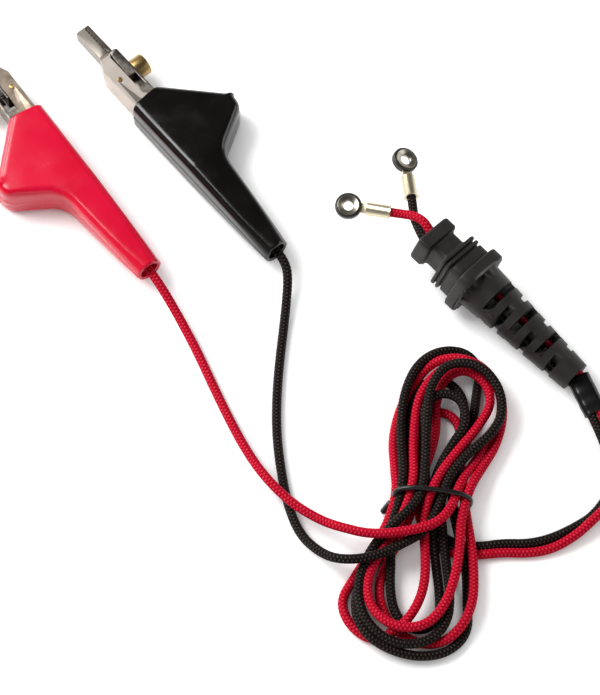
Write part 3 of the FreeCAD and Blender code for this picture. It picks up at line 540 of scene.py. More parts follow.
# Each cord's control points in layout millimetres: the loose run from the clip, the laps of the hank, the
# loose run to the strain relief and the tail to the terminal.
ROUTES = {
    "red": {
        "clip": [
            (-41.0, 15.9, 5.2), (-36.4, 8.4, 2.4), (-31.2, -1.6, 1.4), (-26.4, -12.6, 1.4),
            (-21.2, -24.0, 1.4), (-15.6, -35.2, 2.2), (-9.8, -44.8, 5.4), (-2.2, -52.6, 5.4),
            (6.2, -57.8, 5.4),
        ],
        "hank": [
            (12, -61, 8.5), (21, -64, 10.5), (31.5, -63, 11), (40, -60.5, 10.5), (44.5, -54.5, 9),
            (47, -46.5, 7), (51.5, -39.5, 5), (56.5, -31.5, 3), (60, -24.5, 1.5), (60.5, -17, 2.5),
            (56.5, -10, 4), (48.5, -6.5, 4), (40.5, -10, 4), (35.5, -18, 4.5), (34, -26.5, 4.5),
            (33.5, -36, 5.5), (33.5, -45.5, 8.5), (31.5, -53.5, 7.5), (27.5, -61.5, 6.5), (22, -69.5, 6),
            (19, -77.5, 5.5), (20.5, -85.5, 6.5), (27, -91, 7.5), (35.5, -91, 7.5), (41.5, -85, 7.5),
            (45, -75.5, 7.5), (46.5, -66, 7), (47, -57, 7.5), (50, -47.5, 7), (54, -40.5, 4.5),
            (58, -34, 4.5), (60.5, -25.5, 4.5), (60, -17, 6), (55, -9.5, 7.5), (47, -6, 7),
            (39.5, -6.5, 3.5), (33.5, -13.5, 2), (29.5, -22, 2), (27.5, -31, 1.5), (28, -40, 3),
            (28.5, -49.5, 5.5), (25.5, -58, 1.5), (20.5, -66.5, 1.5), (15.5, -74.5, 1.5),
            (11.5, -81.5, 1.5), (14.5, -89, 1.5), (21, -93.5, 1.5), (28, -91, 4.5), (33, -85.5, 5.5),
            (36, -78, 5), (36.5, -69.5, 5.5), (36, -60, 5), (37.5, -51.5, 8.5), (41, -44, 8),
            (46.5, -36.5, 7), (52.5, -29, 6), (57.5, -20.5, 5.5), (55, -12.5, 5), (48.5, -9, 5),
            (42.5, -13, 4.5), (40.5, -20, 3.5), (40.5, -29, 4), (38.5, -37, 5), (34.5, -46.5, 6),
            (32.5, -55.5, 4), (28.5, -63.5, 1.5), (24, -71.5, 1.5), (22.5, -80, 3), (25.5, -88, 1.5),
            (32, -93.5, 1.5), (39.5, -95, 2.5), (46, -91, 4.5), (50, -83, 4.5), (50.5, -74, 4.5),
            (50, -65, 4.5), (48.5, -54.5, 4.5), (48, -44.5, 3), (47.5, -36, 1.5), (48, -27, 1.5),
            (45, -22.5, 1.5), (39.5, -21.5, 1.5), (35, -25, 1.5), (34.5, -33, 1.5), (34, -42, 2.5),
            (34.5, -51, 3), (35.5, -58, 2.5), (39.5, -64.5, 1.5), (46, -67, 1.5), (52.5, -67, 1.5),
        ],
        "relief": [
            (59.6, -66.2, 1.4), (66.6, -66.5, 1.4), (73.7, -65.3, 1.5), (80.8, -61.4, 2.6),
            (86.1, -56.8, 4.1), (94.6, -48.6, 3.9), (95.0, -39.6, 2.8),
        ],
        "tail": [(37.8, 35.5, 14.2), (34.9, 38.0, 13.2)],
    },
    "black": {
        "clip": [
            (-3.6, 22.9, 5.3), (-4.0, 15.2, 2.6), (-5.0, 5.4, 1.4), (-6.2, -5.6, 1.4),
            (-7.0, -17.0, 1.4), (-7.0, -28.4, 1.4), (-5.8, -39.6, 1.4), (-3.8, -50.8, 1.4),
            (-0.1, -61.0, 2.0), (6.2, -67.8, 4.8),
        ],
        "hank": [
            (12, -71, 8.5), (20.5, -70.5, 9), (29, -66.5, 8.5), (37, -61.5, 7.5), (41, -53.5, 8),
            (43.5, -45, 8), (49.5, -37.5, 7.5), (56.5, -31.5, 7.5), (60.5, -24.5, 7.5), (59, -16, 9.5),
            (52.5, -9.5, 10.5), (43.5, -9, 8.5), (38.5, -16.5, 8), (37.5, -26.5, 8.5), (37, -36.5, 8),
            (36.5, -46, 8.5), (34.5, -53, 9.5), (28, -59.5, 9.5), (21.5, -65.5, 7), (17.5, -73.5, 5.5),
            (16.5, -81.5, 5.5), (19.5, -90, 5.5), (27.5, -95.5, 5), (36.5, -95, 5), (42.5, -89, 5),
            (43.5, -80, 4.5), (42.5, -70, 3.5), (41.5, -60.5, 5.5), (41, -50, 5.5), (43.5, -41.5, 3.5),
            (46.5, -33.5, 4), (49.5, -24.5, 3.5), (48.5, -16.5, 2.5), (44, -11.5, 1.5),
            (38.5, -11.5, 1.5), (34.5, -16, 1.5), (32.5, -24.5, 1.5), (31.5, -35.5, 2), (30.5, -45, 3.5),
            (30, -53, 3.5), (27.5, -60.5, 1.5), (22.5, -68.5, 1.5), (17.5, -76, 2.5), (15.5, -84, 3),
            (18.5, -92, 4.5), (25.5, -96.5, 3.5), (34, -98.5, 2.5), (42.5, -97, 2), (48.5, -91, 1.5),
            (48.5, -82, 1.5), (48.5, -73, 2.5), (46.5, -63, 4.5), (45, -56, 5.5), (44.5, -49, 5.5),
            (46.5, -41, 4.5), (49.5, -32.5, 3.5), (52, -23.5, 2.5), (53, -15, 1.5), (54.5, -8.5, 1.5),
            (50.5, -2.5, 2), (42.5, -2.5, 4), (35.5, -7, 4.5), (31.5, -15.5, 4.5), (30, -25, 4.5),
            (30, -35, 5), (30.5, -44.5, 7.5), (29, -53, 6.5), (26, -61, 4), (26.5, -69, 4), (26, -77, 3),
            (27, -84.5, 2.5), (30.5, -89.5, 2.5), (36, -90.5, 2.5), (40.5, -86.5, 2), (40.5, -78.5, 2),
            (39.5, -70, 2.5), (38.5, -60, 5), (38.5, -49, 5.5), (41, -41, 5), (45, -34, 6),
            (49, -28.5, 6.5), (49, -21.5, 6.5), (45.5, -18, 6.5), (40.5, -18, 6.5), (37, -21.5, 5.5),
            (37, -28, 4), (37, -36, 2.5), (37, -45, 3), (37.5, -53, 3), (40, -60.5, 2), (46, -64, 1.5),
            (53, -64.5, 1.5),
        ],
        "relief": [
            (59.4, -63.4, 1.4), (66.7, -63.6, 1.4), (73.8, -61.9, 1.4), (81.0, -58.3, 1.4),
            (86.5, -54.7, 1.4), (91.8, -47.4, 1.4), (92.2, -37.6, 1.6),
        ],
        "tail": [(36.1, 34.8, 11.0), (34.8, 39.3, 9.4)],
    },
}

# Control points inside the pieces that hold a cord, as distances along each piece's own x axis.
CRIMP_OFFSET = -2.15
BOOT_STATIONS = (-38.0, -50.0, -63.5, -66.3)
SLEEVE_STATIONS = (13.8, -0.15)
RELIEF_STATIONS = (62.15, 56.4, 30.0, 5.6, -0.15)
BARREL_STATIONS = (-2.8, 3.0)

# In the sleeve and the strain relief the two cords lie side by side, in the relief rolled about its axis.
PAIR_HALF = 1.45
PAIR_ROLL = math.radians(35.0)


def cord_route(colour):
    """Control points of one cord from inside the boot to the terminal's barrel, in layout millimetres."""
    route = ROUTES[colour]
    across = PAIR_HALF if colour == "red" else -PAIR_HALF
    y = across * math.cos(PAIR_ROLL)
    z = across * math.sin(PAIR_ROLL)
    return np.vstack([
        CLIPS[colour].out([(x, CRIMP_OFFSET, 0) for x in BOOT_STATIONS]),
        route["clip"],
        route["hank"],
        route["relief"],
        SLEEVE.out([(x, across, 0) for x in SLEEVE_STATIONS]),
        RELIEF.out([(x, y, z) for x in RELIEF_STATIONS]),
        route["tail"],
        TERMINALS[colour].out([(x, 0, 0) for x in BARREL_STATIONS]),
    ])


def spline_line(name, points):
    """Points along the NURBS spline whose control points are given, read from a curve with no bevel."""
    curve = bpy.data.curves.new(name, "CURVE")
    curve.dimensions = "3D"
    curve.resolution_u = SPLINE_STEPS
    spline = curve.splines.new("NURBS")
    spline.points.add(len(points) - 1)
    weighted = np.hstack([points, np.ones((len(points), 1))])
    spline.points.foreach_set("co", weighted.astype(np.float32).ravel())
    spline.order_u = 3
    spline.use_endpoint_u = True
    holder = bpy.data.objects.new(name, curve)
    bpy.context.scene.collection.objects.link(holder)
    bpy.context.view_layer.update()
    mesh = bpy.data.meshes.new_from_object(holder)
    line = np.zeros(len(mesh.vertices) * 3, np.float32)
    mesh.vertices.foreach_get("co", line)
    bpy.data.objects.remove(holder)
    bpy.data.meshes.remove(mesh)
    return line.reshape(-1, 3).astype(float)


def braided_cord(name, colour):
    """A braided tube along the cord's spline; returns the piece and its centre line.

    With a = n u + v and b = n u - v as in the braid's finish,
    radius = r (1 + BRAID_RELIEF (|sin pi a sin pi b| - 1/2)).
    """
    line = spline_line(name + "_line", layout(cord_route(colour)))
    line = evenly(line, BRAID_STEP / RINGS_PER_STEP * MM)
    side, up = frames(line)
    rows = len(line)
    around = POINTS_PER_STRAND * BRAID_STRANDS
    u = np.arange(around) / around
    v = np.arange(rows)[:, None] / RINGS_PER_STEP
    pillow = np.abs(np.sin(math.pi * (BRAID_STRANDS * u + v)) * np.sin(math.pi * (BRAID_STRANDS * u - v)))
    radius = CORD_DIAMETER / 2 * MM * (1 + BRAID_RELIEF * (pillow - 0.5))
    grid = tube(line, side, up, radius[..., None], around)
    ends = [range(around)[::-1], range((rows - 1) * around, rows * around)]
    uv = grid_uv(np.linspace(0, 1, around + 1), v[:, 0])
    cord = make_piece(name, grid, grid_quads(rows, around, close_columns=True), uv, ends)
    return recalculated(cord), line


for colour, finish in (("red", RED_BRAID), ("black", BLACK_BRAID)):
    cord, line = braided_cord(colour + "_cord", colour)
    stretches = [colour + "_" + stretch for stretch in CORD_STRETCHES]
    dress(cord, "cord_set", finish, colour + "_braid", *stretches)
    CLIPS[colour].model((-63.5, -2.15, 0))


# Boots

BOOT_WALL = 1.2
BOOT_MOUTH = 2.2
BOOT_TAIL = -63.5
BOOT_BACK = -6.2
BOOT_OUTLINE = [(BOOT_MOUTH, 5.4), (-14.5, 21.0), (-19.5, 20.6), (-28.5, 5.9), (BOOT_TAIL, 1.9)]
BOOT_OUTLINE_RADII = [2.4, 5.0, 10.0]
OUTLINE_STEP = 0.5
BOOT_HALF_DEPTH = 6.5
TAPER_START = -27.0
TAPER_DEPTH = 2.2
BOOT_EDGE = 2.4
TAIL_EDGE_GAIN = 1.5
INNER_EDGE_LOSS = 0.9
WIDEST_EDGE_SHARE = 0.48
BOOT_CROWN = 0.25
CROWN_FROM_SHARE = 0.8
MOUTH_LEAN = 0.11
MOUTH_LEAN_REACH = 9.0
MOUTH_ROLL = np.array([0.35, 0, 0])
TAIL_ROLL = np.array([-0.3, 0, 0])

# The small nub at the wing's tip: place along the clip, half width, start across, blend and height.
NUB_AT = -14.6
NUB_HALF_WIDTH = 0.8
NUB_FROM = 17.6
NUB_BLEND = 2.2
NUB_HEIGHT = 0.75

# The moulding seam round the boot's flanks, raised away from the line y = SEAM_MIDDLE.
SEAM_HALF_WIDTH = 0.45
SEAM_HEIGHT = 0.26
SEAM_MIDDLE = -2.0


def weights(y0=0.0, y1=0.0, back=0.0, wing=0.0, depth=0.0, corner=0.0):
    """Rows of a section's six weights, each a number for all points or an array with one for each."""
    return np.stack(np.broadcast_arrays(y0, y1, back, wing, depth, corner), -1)


def section_loop(face=22, corner=8, flank=9):
    """Weights of one closed section, with that many points on each face, corner and flank.

    A point's y is the sum of y0, y1, the back edge's radius and the wing edge's radius times their weights,
    and its z is the sum of the half depth and the edge's radius times theirs. The loop runs up the back
    flank, round a corner, over the top face, down the wing flank and back under.
    """
    arc = np.linspace(0, math.pi / 2, corner, endpoint=False)
    cosine = np.cos(arc)
    sine = np.sin(arc)
    flat = np.linspace(0, 1, face, endpoint=False)
    level = signed_power(np.linspace(-1, 1, flank, endpoint=False), 1.5)
    return np.vstack([
        weights(y0=1.0, depth=level, corner=-level),
        weights(y0=1.0, back=1 - cosine, depth=1.0, corner=sine - 1),
        weights(y0=1 - flat, y1=flat, back=1 - flat, wing=-flat, depth=1.0),
        weights(y1=1.0, wing=sine - 1, depth=1.0, corner=cosine - 1),
        weights(y1=1.0, depth=-level, corner=level),
        weights(y1=1.0, wing=cosine - 1, depth=-1.0, corner=1 - sine),
        weights(y0=flat, y1=1 - flat, back=flat, wing=flat - 1, depth=-1.0),
        weights(y0=1.0, back=1 - sine, depth=-1.0, corner=1 - cosine),
    ])


BOOT_LOOP = section_loop()


def rounded_line(corners, radii, arc_points=9):
    """A flat line through corners, each rounded by an arc of its radius, respaced evenly."""
    corners = np.asarray(corners, float)
    stretches = [corners[:1]]
    sweep = np.linspace(0, 1, arc_points)[:, None]
    for before, here, after, radius in zip(corners[:-2], corners[1:-1], corners[2:], radii):
        back = unit(before - here)
        ahead = unit(after - here)
        half = 0.5 * math.acos(float(np.clip(back @ ahead, -1, 1)))
        reach = radius / math.tan(half)
        middle = here + unit(back + ahead) * radius / math.sin(half)
        start = here + back * reach - middle
        end = here + ahead * reach - middle
        whole = math.pi - 2 * half
        arc = (np.sin((1 - sweep) * whole) * start + np.sin(sweep * whole) * end) / math.sin(whole)
        stretches.append(middle + arc)
    stretches.append(corners[-1:])
    flat = np.vstack(stretches)
    return evenly(np.hstack([flat, np.zeros((len(flat), 1))]), OUTLINE_STEP)[:, :2]


def boot_skin(top, shrink):
    """One skin of the boot at the top outline's points, shrunk inwards: loops square to the clip's length.

    The back flank is straight and the wing flank follows the outline. The half depth tapers from TAPER_START
    to the tail, where the edges' radius has grown with the fourth power so that the section is nearly round.
    The radius across is stretched by the outline's slope so that the edge stays round, the faces have a
    slight crown, and the mouth leans back on the side away from the wing.
    """
    x = top[:, 0]
    slope = np.gradient(top[:, 1]) / np.gradient(x)
    stretch = np.sqrt(1 + slope ** 2)
    y0 = BOOT_BACK + shrink + 0 * x
    y1 = top[:, 1] - shrink * stretch
    taper = np.clip((TAPER_START - x) / (TAPER_START - BOOT_TAIL), 0, 1)
    depth = BOOT_HALF_DEPTH - TAPER_DEPTH * taper - shrink
    edge = BOOT_EDGE + TAIL_EDGE_GAIN * taper ** 4 - INNER_EDGE_LOSS * shrink
    widest = WIDEST_EDGE_SHARE * (y1 - y0)
    sizes = np.stack([y0, y1, np.minimum(edge, widest), np.minimum(edge * stretch, widest)], -1)
    y = sizes @ BOOT_LOOP[:, :4].T
    z = np.stack([depth, edge], -1) @ BOOT_LOOP[:, 4:].T
    across = (y - y0[:, None]) / (y1 - y0)[:, None]
    crown = BOOT_CROWN * (1 - (2 * across - 1) ** 2) * np.clip(depth[:, None] / BOOT_HALF_DEPTH, 0, 1)
    z = z + np.sign(z) * crown * (np.abs(z) > CROWN_FROM_SHARE * depth[:, None])
    lean = MOUTH_LEAN * np.clip(1 - (BOOT_MOUTH - x) / MOUTH_LEAN_REACH, 0, 1)
    return np.stack([x[:, None] + lean[:, None] * (y - y1[:, None]), y, z], -1)


def boot(colour, finish):
    """A hollow vinyl boot as one closed sheet: outer skin, rolled tail, inner skin, rolled mouth."""
    top = rounded_line(BOOT_OUTLINE, BOOT_OUTLINE_RADII)
    outer = boot_skin(top, 0.0)
    inner = boot_skin(top, BOOT_WALL)[::-1]
    nub = np.exp(-((outer[..., 0] - NUB_AT) / NUB_HALF_WIDTH) ** 2)
    nub = nub * smoothstep((outer[..., 1] - NUB_FROM) / NUB_BLEND)
    middle = outer.mean(axis=1, keepdims=True)
    outer = outer + unit(outer - middle) * (NUB_HEIGHT * nub)[..., None]
    seam = np.exp(-(outer[..., 2] / SEAM_HALF_WIDTH) ** 2)
    outer[..., 1] += SEAM_HEIGHT * seam * np.sign(outer[..., 1] - SEAM_MIDDLE)
    mouth_roll = 0.5 * (outer[:1] + inner[-1:]) + MOUTH_ROLL
    tail_roll = 0.5 * (outer[-1:] + inner[:1]) + TAIL_ROLL
    grid = np.concatenate([outer, tail_roll, inner, mouth_roll])
    rows, columns = grid.shape[:2]
    piece = make_piece(colour + "_vinyl_boot", CLIPS[colour].model(grid),
                       grid_quads(rows, columns, close_rows=True, close_columns=True))
    recalculated(piece)
    dress(piece, None, finish, colour + "_vinyl", colour + "_boot")
    CLIPS[colour].model((-8.0, 4.5, 0))
    CLIPS[colour].model((-8.0, 13.0, 0))
    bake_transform(piece)


boot("red", RED_VINYL)
boot("black", BLACK_VINYL)


# Clip metalwork and ring terminals

NOSE_FROM = 20.5
NOSE_BLEND = 3.0
CUP_AT = 14.0
EYE_AT = 13.0
FIXED_JAW_FINISH = {"red": BRONZED, "black": NICKEL}


def nail_cup(colour):
    """Turned brass barrel on the moving jaw: eased ends and a shallow dish in its outer end."""
    clip = CLIPS[colour]
    seat = Seat(clip.out((CUP_AT, 0, 0)), clip.matrix @ turn("z", 90))
    along = [4.2, 4.2, 4.22, 4.3, 4.45, 6.5, 8.45, 8.7, 8.85, 8.9, 8.9, 8.86, 8.7, 8.64, 8.62]
    radius = [0.0, 3.2, 3.36, 3.46, 3.5, 3.5, 3.5, 3.44, 3.3, 3.1, 2.7, 2.55, 2.35, 2.1, 0.0]
    piece = lathe(colour + "_turned_cup", seat, along, radius)
    dress(piece, colour + "_upper_jaw", BRASS, "brass", colour + "_nail_cup")


def mark_nose(piece, clip):
    """Gives a jaw's points a "nose" value: 0 behind local x = NOSE_FROM, rising to 1 over NOSE_BLEND."""
    points = np.zeros(len(piece.data.vertices) * 3, np.float32)
    piece.data.vertices.foreach_get("co", points)
    x = clip.local(points.reshape(-1, 3))[:, 0]
    layer = piece.data.attributes.new("nose", "FLOAT", "POINT")
    layer.data.foreach_set("value", smoothstep((x - NOSE_FROM) / NOSE_BLEND).astype(np.float32))


def eased_metal(colour):
    """One colour's CAD nodes with eased edges; each row has node, body, finish, slot and ease in mm."""
    for node, body, finish, slot, width in (
        ("fixed_jaw", "cord_set", FIXED_JAW_FINISH[colour], "nickel", 0.14),
        # The moving jaw's darker nickel is partly painted shade.
        ("moving_jaw", colour + "_upper_jaw", TARNISH_AND_SHADE_NICKEL, "nickel", 0.14),
        ("pivot_pin", "cord_set", STEEL, "steel", 0.1),
        ("anvil", "cord_set", STEEL, "steel", 0.15),
        ("anvil_rivet", "cord_set", BRASS, "brass", 0.1),
        ("ring_terminal", "cord_set", TINNED, "tinned_brass", 0.08),
        ("terminal_collar", "cord_set", COLLAR_RUBBER, "grey_rubber", 0.5),
    ):
        name = colour + "_" + node
        piece = dress(eased_copy(name, width), body, finish, slot, name)
        if node.endswith("jaw"):
            mark_nose(piece, CLIPS[colour])


def jaw_spring(colour):
    """The torsion spring: a merged copy of its CAD node, shaded smooth, in steel, baked into the model's
    frame.
    """
    spring = dress(eased_copy(colour + "_jaw_spring", 0.0), None, STEEL, "steel", colour + "_jaw_spring")
    colour + "_upper_jaw"
    CLIPS[colour].model((-1.5, 1.5, 0))
    CLIPS[colour].model((-5.0, 5.0, 0))
    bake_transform(spring)


for colour in ("red", "black"):
    nail_cup(colour)
    eased_metal(colour)
    jaw_spring(colour)
    for slot in nodes[colour + "_nails"].material_slots:
        slot.material = STEEL


# Strain relief

# Slabs of its front: from, to, half width, half height, squareness, ease (negative for a hollow fillet).
RELIEF_SLABS = [
    (0.0, 4.7, 6.8, 5.3, 9.0, 0.9),
    (4.7, 10.0, 4.7, 4.9, 7.0, -1.1),
    (10.0, 11.1, 7.45, 7.45, 7.0, 0.35),
    (11.1, 11.8, 6.5, 6.5, 7.0, 0.1),
    (11.8, 12.9, 7.45, 7.45, 7.0, 0.35),
    (12.9, 13.6, 6.5, 6.5, 7.0, 0.1),
    (13.6, 17.3, 7.3, 7.3, 6.0, 0.4),
    (17.3, 21.5, 9.0, 9.0, 5.5, 0.7),
]
RELIEF_SIDES = 144
RELIEF_EASE_ROWS = 6
RELIEF_SHARP_ANGLE = math.radians(50)
RELIEF_TAIL_FROM = 20.6
RELIEF_TAIL_EASE = 0.22


def relief_front():
    """Moulded front of the strain relief: hammer head, neck, grooved block and flange as slabs on one axis.

    Section of a slab with squareness p: y = w |cos t|^(2/p), z = h |sin t|^(2/p), signs kept. At each end of
    a slab w and h are less by ease (1 - sin f) where x has moved in by |ease| (1 - cos f), f from 0 to 90
    degrees. A point on the axis closes each end.
    """
    f = np.linspace(0, math.pi / 2, RELIEF_EASE_ROWS)
    rows = []
    for begin, end, half_y, half_z, square, ease in RELIEF_SLABS:
        inward = abs(ease) * (1 - np.cos(f))
        change = ease * (1 - np.sin(f))
        x = np.concatenate([begin + inward, (end - inward)[::-1]])
        drop = np.concatenate([change, change[::-1]])
        rows.append(np.stack([x, half_y - drop, half_z - drop, square + 0 * x], -1))
    front = (RELIEF_SLABS[0][0], 0, 0, 8.0)
    back = (RELIEF_SLABS[-1][1], 0, 0, 8.0)
    rows = np.vstack([[front], *rows, [back]])
    t = np.linspace(0, FULL_TURN, RELIEF_SIDES, endpoint=False)
    power = 2 / rows[:, 3:]
    y = rows[:, 1:2] * signed_power(np.cos(t), power)
    z = rows[:, 2:3] * signed_power(np.sin(t), power)
    grid = np.stack(np.broadcast_arrays(rows[:, :1], y, z), -1)
    quads = grid_quads(len(rows), RELIEF_SIDES, close_columns=True)
    piece = make_piece("relief_front", RELIEF.model(grid), quads)
    merge(piece.data)
    piece.data.set_sharp_from_angle(angle=RELIEF_SHARP_ANGLE)
    recalculated(piece)
    dress(piece, "cord_set", RELIEF_RUBBER, "black_rubber", "strain_relief")


def relief_tail():
    """Slotted tail of the strain relief: its CAD node with eased edges, cut off inside the flange."""
    piece = trimmed(eased_copy("strain_relief", RELIEF_TAIL_EASE), RELIEF, RELIEF_TAIL_FROM)
    dress(piece, "cord_set", RELIEF_RUBBER, "black_rubber", "strain_relief")


relief_front()
relief_tail()


# Sleeve, tie and eyelets

SLEEVE_RADIUS = 2.15
SLEEVE_BORE = 1.6
SLEEVE_SIDES = 56
SLEEVE_ROWS = 17
SLEEVE_RIPPLE = 0.04

TIE_POINTS = 160
TIE_SIDES = 18
TIE_RADIUS = 0.75
TIE_HALF_WIDTH = 11.2
TIE_HALF_HEIGHT = 5.0
TIE_MIDDLE = 5.9
TIE_SQUARENESS = 0.7
TIE_OFFSET = -0.1
TIE_SHIFT = -0.9
TIE_LEAN = 1.1
TIE_SKEW = 0.45
TIE_WAVE = 0.03
TIE_WAVES = 7

# The tie's tail: its start along and across the hank and in height, and how far it goes in each.
TIE_TAIL_START = (-2.4, -11.8, 3.4)
TIE_TAIL_REACH = (-3.6, -2.6, -2.0)
TIE_TAIL_POINTS = 12
TIE_TAIL_RADIUS = 0.95


def cord_sleeve():
    """Shrunk sleeve: an oval section that hugs both cords, rolled lips at its ends, hollow right through.

    Section: y = PAIR_HALF tanh(4 cos t) + r cos t, z = r sin t (0.9 + 0.1 cos^2 t).
    """
    ripple = SLEEVE_RIPPLE * np.cos(np.linspace(0, 5 * math.pi, SLEEVE_ROWS))
    x = np.concatenate([[-2.5, -2.4, -1.9], np.linspace(-1.2, 8.8, SLEEVE_ROWS), [9.4, 9.75, 9.85]])
    grow = np.concatenate([[-0.25, 0.0, 0.05], ripple, [0.02, 0.0, -0.25]])
    angle = np.linspace(0, FULL_TURN, SLEEVE_SIDES, endpoint=False)

    def skin(radius):
        y = PAIR_HALF * np.tanh(4 * np.cos(angle)) + radius[:, None] * np.cos(angle)
        z = radius[:, None] * np.sin(angle) * (0.9 + 0.1 * np.cos(angle) ** 2)
        return np.stack(np.broadcast_arrays(x[:, None], y, z), -1)

    grid = np.concatenate([skin(SLEEVE_RADIUS + grow), skin(SLEEVE_BORE + 0 * grow)[::-1]])
    rows, columns = grid.shape[:2]
    piece = make_piece("shrunk_sleeve", SLEEVE.model(grid), grid_quads(rows, columns, True, True))
    recalculated(piece)
    dress(piece, "cord_set", SLEEVE_PLASTIC, "sleeve_plastic", "cord_sleeve")


def waist_points(along, across, height):
    """Layout points at distances along and across the hank from its waist, and above the table."""
    return HANK_WAIST + along[:, None] * HANK_ALONG + across[:, None] * HANK_ACROSS + height[:, None] * UP


def tie_ring():
    """Points of the rubber ring round the waist.

    Across the hank it lies at w cos^p t and in height at middle + h sin^p t, signs kept. It leans along the
    hank as it goes over, and its thickness waves a little.
    """
    angle = np.linspace(0, FULL_TURN, TIE_POINTS, endpoint=False)
    cosine = np.cos(angle)
    sine = np.sin(angle)
    line = waist_points(
        TIE_LEAN * sine + TIE_SHIFT + TIE_SKEW * cosine,
        TIE_HALF_WIDTH * signed_power(cosine, TIE_SQUARENESS) + TIE_OFFSET,
        TIE_MIDDLE + TIE_HALF_HEIGHT * signed_power(sine, TIE_SQUARENESS),
    )
    tangent = unit(np.roll(line, -1, 0) - np.roll(line, 1, 0))
    side = unit(np.cross(tangent, np.broadcast_to(HANK_ALONG, tangent.shape)))
    radius = TIE_RADIUS * (1 + TIE_WAVE * np.sin(TIE_WAVES * angle))
    return tube(line, side, np.cross(side, tangent), radius[:, None, None], TIE_SIDES)


def tie_tail():
    """Points of the tie's short tail, low on the left: a tube that closes at both ends."""
    step = np.linspace(0, 1, TIE_TAIL_POINTS)
    shares = (step, step, smoothstep(step))
    line = waist_points(*[start + reach * share for start, reach, share in
                          zip(TIE_TAIL_START, TIE_TAIL_REACH, shares)])
    side, up = frames(line)
    radius = TIE_TAIL_RADIUS * np.sqrt(np.clip(1 - (2 * step - 1) ** 8, 0, 1))
    return tube(line, side, up, radius[:, None, None], TIE_SIDES)


def hank_tie():
    """Rubber ring drawn round the hank's waist, with the short tail of its end."""
    points = np.concatenate([tie_ring().reshape(-1, 3), tie_tail().reshape(-1, 3)])
    ring_quads = grid_quads(TIE_POINTS, TIE_SIDES, True, True)
    tail_quads = TIE_POINTS * TIE_SIDES + grid_quads(TIE_TAIL_POINTS, TIE_SIDES, False, True)
    piece = make_piece("waist_tie", layout(points), np.concatenate([ring_quads, tail_quads]))
    merge(piece.data)
    recalculated(piece)
    dress(piece, "cord_set", TIE_RUBBER, "grey_rubber", "hank_tie")


def eyelet(colour):
    """Silvered funnel pressed into a ring terminal's eye: a plain throat and flared lips on both faces."""
    seat = TERMINALS[colour]
    stand = Seat(seat.out((EYE_AT, 0, 0)), seat.matrix @ turn("y", -90))
    along = np.array([0.0, 0.25, 0.45, 0.62, 0.8, 1.0, 1.16, 1.24, 1.24, 1.14, 0.9, 0.55])
    radius = np.array([1.5, 1.52, 1.6, 1.8, 2.15, 2.6, 2.95, 3.16, 3.28, 3.3, 2.8, 2.3])
    both_along = np.concatenate([along, -along[::-1]])
    both_radius = np.concatenate([radius, radius[::-1]])
    piece = lathe(colour + "_eyelet", stand, both_along, both_radius)
    dress(piece, "cord_set", SILVER, "tinned_brass", colour + "_ring_terminal")


cord_sleeve()
hank_tie()
eyelet("red")
eyelet("black")


# Floor

FLOOR_HALF = 3.0
FLOOR_HEIGHT = -0.0001
FLOOR_GREY = (0.92, 0.92, 0.92, 1)
FLOOR_GLOW = 0.68
NEAR_SHADE_REACH = 0.010
NEAR_SHADE_POWER = 1.4


def stage_floor():
    """A wide pale floor just under the set.

    Its own colour keeps the shadows. A glow lifts what the camera sees to white, and fades where pieces stand
    close, which paints a contact shade round them.
    """
    mesh = bpy.data.meshes.new("floor")
    ways = [(-1, -1), (1, -1), (1, 1), (-1, 1)]
    corners = [(x * FLOOR_HALF, y * FLOOR_HALF, FLOOR_HEIGHT) for x, y in ways]
    mesh.from_pydata(corners, [], [(0, 1, 2, 3)])
    floor = bpy.data.objects.new("floor", mesh)
    bpy.context.scene.collection.objects.link(floor)
    paint = bpy.data.materials.new("floor_paint")
    paint.use_nodes = True
    tree = paint.node_tree
    tree.nodes.clear()
    start = Wire(tree)
    lit = start.node("ShaderNodeBsdfDiffuse", None, {"Color": FLOOR_GREY})
    rays = ("Is Camera Ray", "Is Glossy Ray", "Is Transmission Ray")
    seen = sum(start.node("ShaderNodeLightPath", out=ray) for ray in rays)
    reach = {"Distance": NEAR_SHADE_REACH}
    # Painted shade: ambient occlusion dims the glow near the pieces, a contact shade round them.
    clear = start.node("ShaderNodeAmbientOcclusion", {"samples": 8}, reach, out="AO")
    strength = seen * clear ** NEAR_SHADE_POWER * FLOOR_GLOW
    glow = start.node("ShaderNodeEmission", None, {"Color": (1, 1, 1, 1), "Strength": strength})
    both = start.node("ShaderNodeAddShader", None, {0: lit, 1: glow})
    output = tree.nodes.new("ShaderNodeOutputMaterial")
    tree.links.new(both.socket, output.inputs[0])
    mesh.materials.append(paint)


stage_floor()


# Light

LIGHT_AIM = np.array([0.0, -0.02, 0.0])

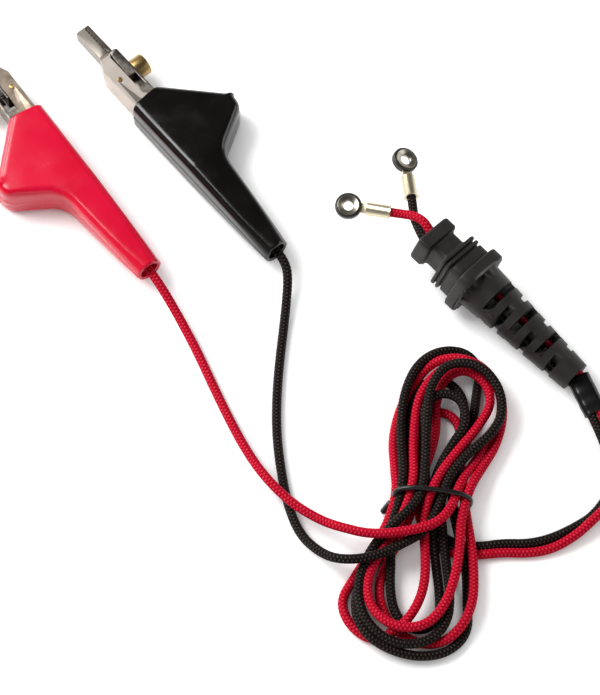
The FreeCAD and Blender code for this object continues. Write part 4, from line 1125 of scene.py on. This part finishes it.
# Each soft box: name, place in metres, width and height in metres, power in watts.
SOFT_BOXES = [
    ("key_box", (-0.66, 0.30, 0.90), (0.7, 0.6), 12.5),
    ("left_box", (-0.78, 0.38, 0.27), (0.34, 0.16), 2.6),
    ("right_fill", (0.80, 0.15, 0.35), (0.70, 0.40), 1.6),
    ("front_fill", (0.10, -0.85, 0.35), (0.90, 0.40), 1.0),
]
SKY_LOW = (1, 1, 1, 1)
SKY_HIGH = (0.16, 0.16, 0.16, 1)
SKY_STRENGTH = 0.26


def soft_box(name, place, size, power):
    """A rectangular area lamp at place, facing LIGHT_AIM."""
    lamp = bpy.data.lights.new(name, "AREA")
    lamp.shape = "RECTANGLE"
    lamp.size = size[0]
    lamp.size_y = size[1]
    lamp.energy = power
    holder = bpy.data.objects.new(name, lamp)
    bpy.context.scene.collection.objects.link(holder)
    back = unit(np.asarray(place, float) - LIGHT_AIM)
    right = unit(np.cross(UP, back))
    matrix = np.eye(4)
    matrix[:3, 0] = right
    matrix[:3, 1] = np.cross(back, right)
    matrix[:3, 2] = back
    matrix[:3, 3] = place
    holder.matrix_world = Matrix(matrix.tolist())


def studio_sky():
    """A dim sky, white near the horizon and grey overhead."""
    world = bpy.data.worlds.new("studio")
    bpy.context.scene.world = world
    world.use_nodes = True
    sky = Wire(world.node_tree)
    heading = sky.node("ShaderNodeTexCoord", out="Generated")
    height = sky.node("ShaderNodeSeparateXYZ", None, {0: heading}, 2)
    colour = height.ramped(low=0.15, high=0.8).mixed(SKY_LOW, SKY_HIGH)
    feed(world.node_tree.nodes["Background"], Color=colour, Strength=SKY_STRENGTH)


for box in SOFT_BOXES:
    soft_box(*box)
studio_sky()


# Camera

CAMERA_PLACE = (0.01109, -0.37176, 0.73084)
CAMERA_TILT = math.radians(24.0)


def photo_camera():
    """The photograph's camera: above the set and in front of it, looking down at a tilt."""
    lens = bpy.data.cameras.new("photo_camera")
    lens.lens = 136.75
    lens.sensor_width = 36.0
    lens.clip_start = 0.05
    lens.clip_end = 20.0
    camera = bpy.data.objects.new("photo_camera", lens)
    camera.location = CAMERA_PLACE
    camera.rotation_euler = (CAMERA_TILT, 0, 0)
    bpy.context.scene.collection.objects.link(camera)
    bpy.context.scene.camera = camera
    bpy.context.scene.view_settings.view_transform = "Standard"


photo_camera()
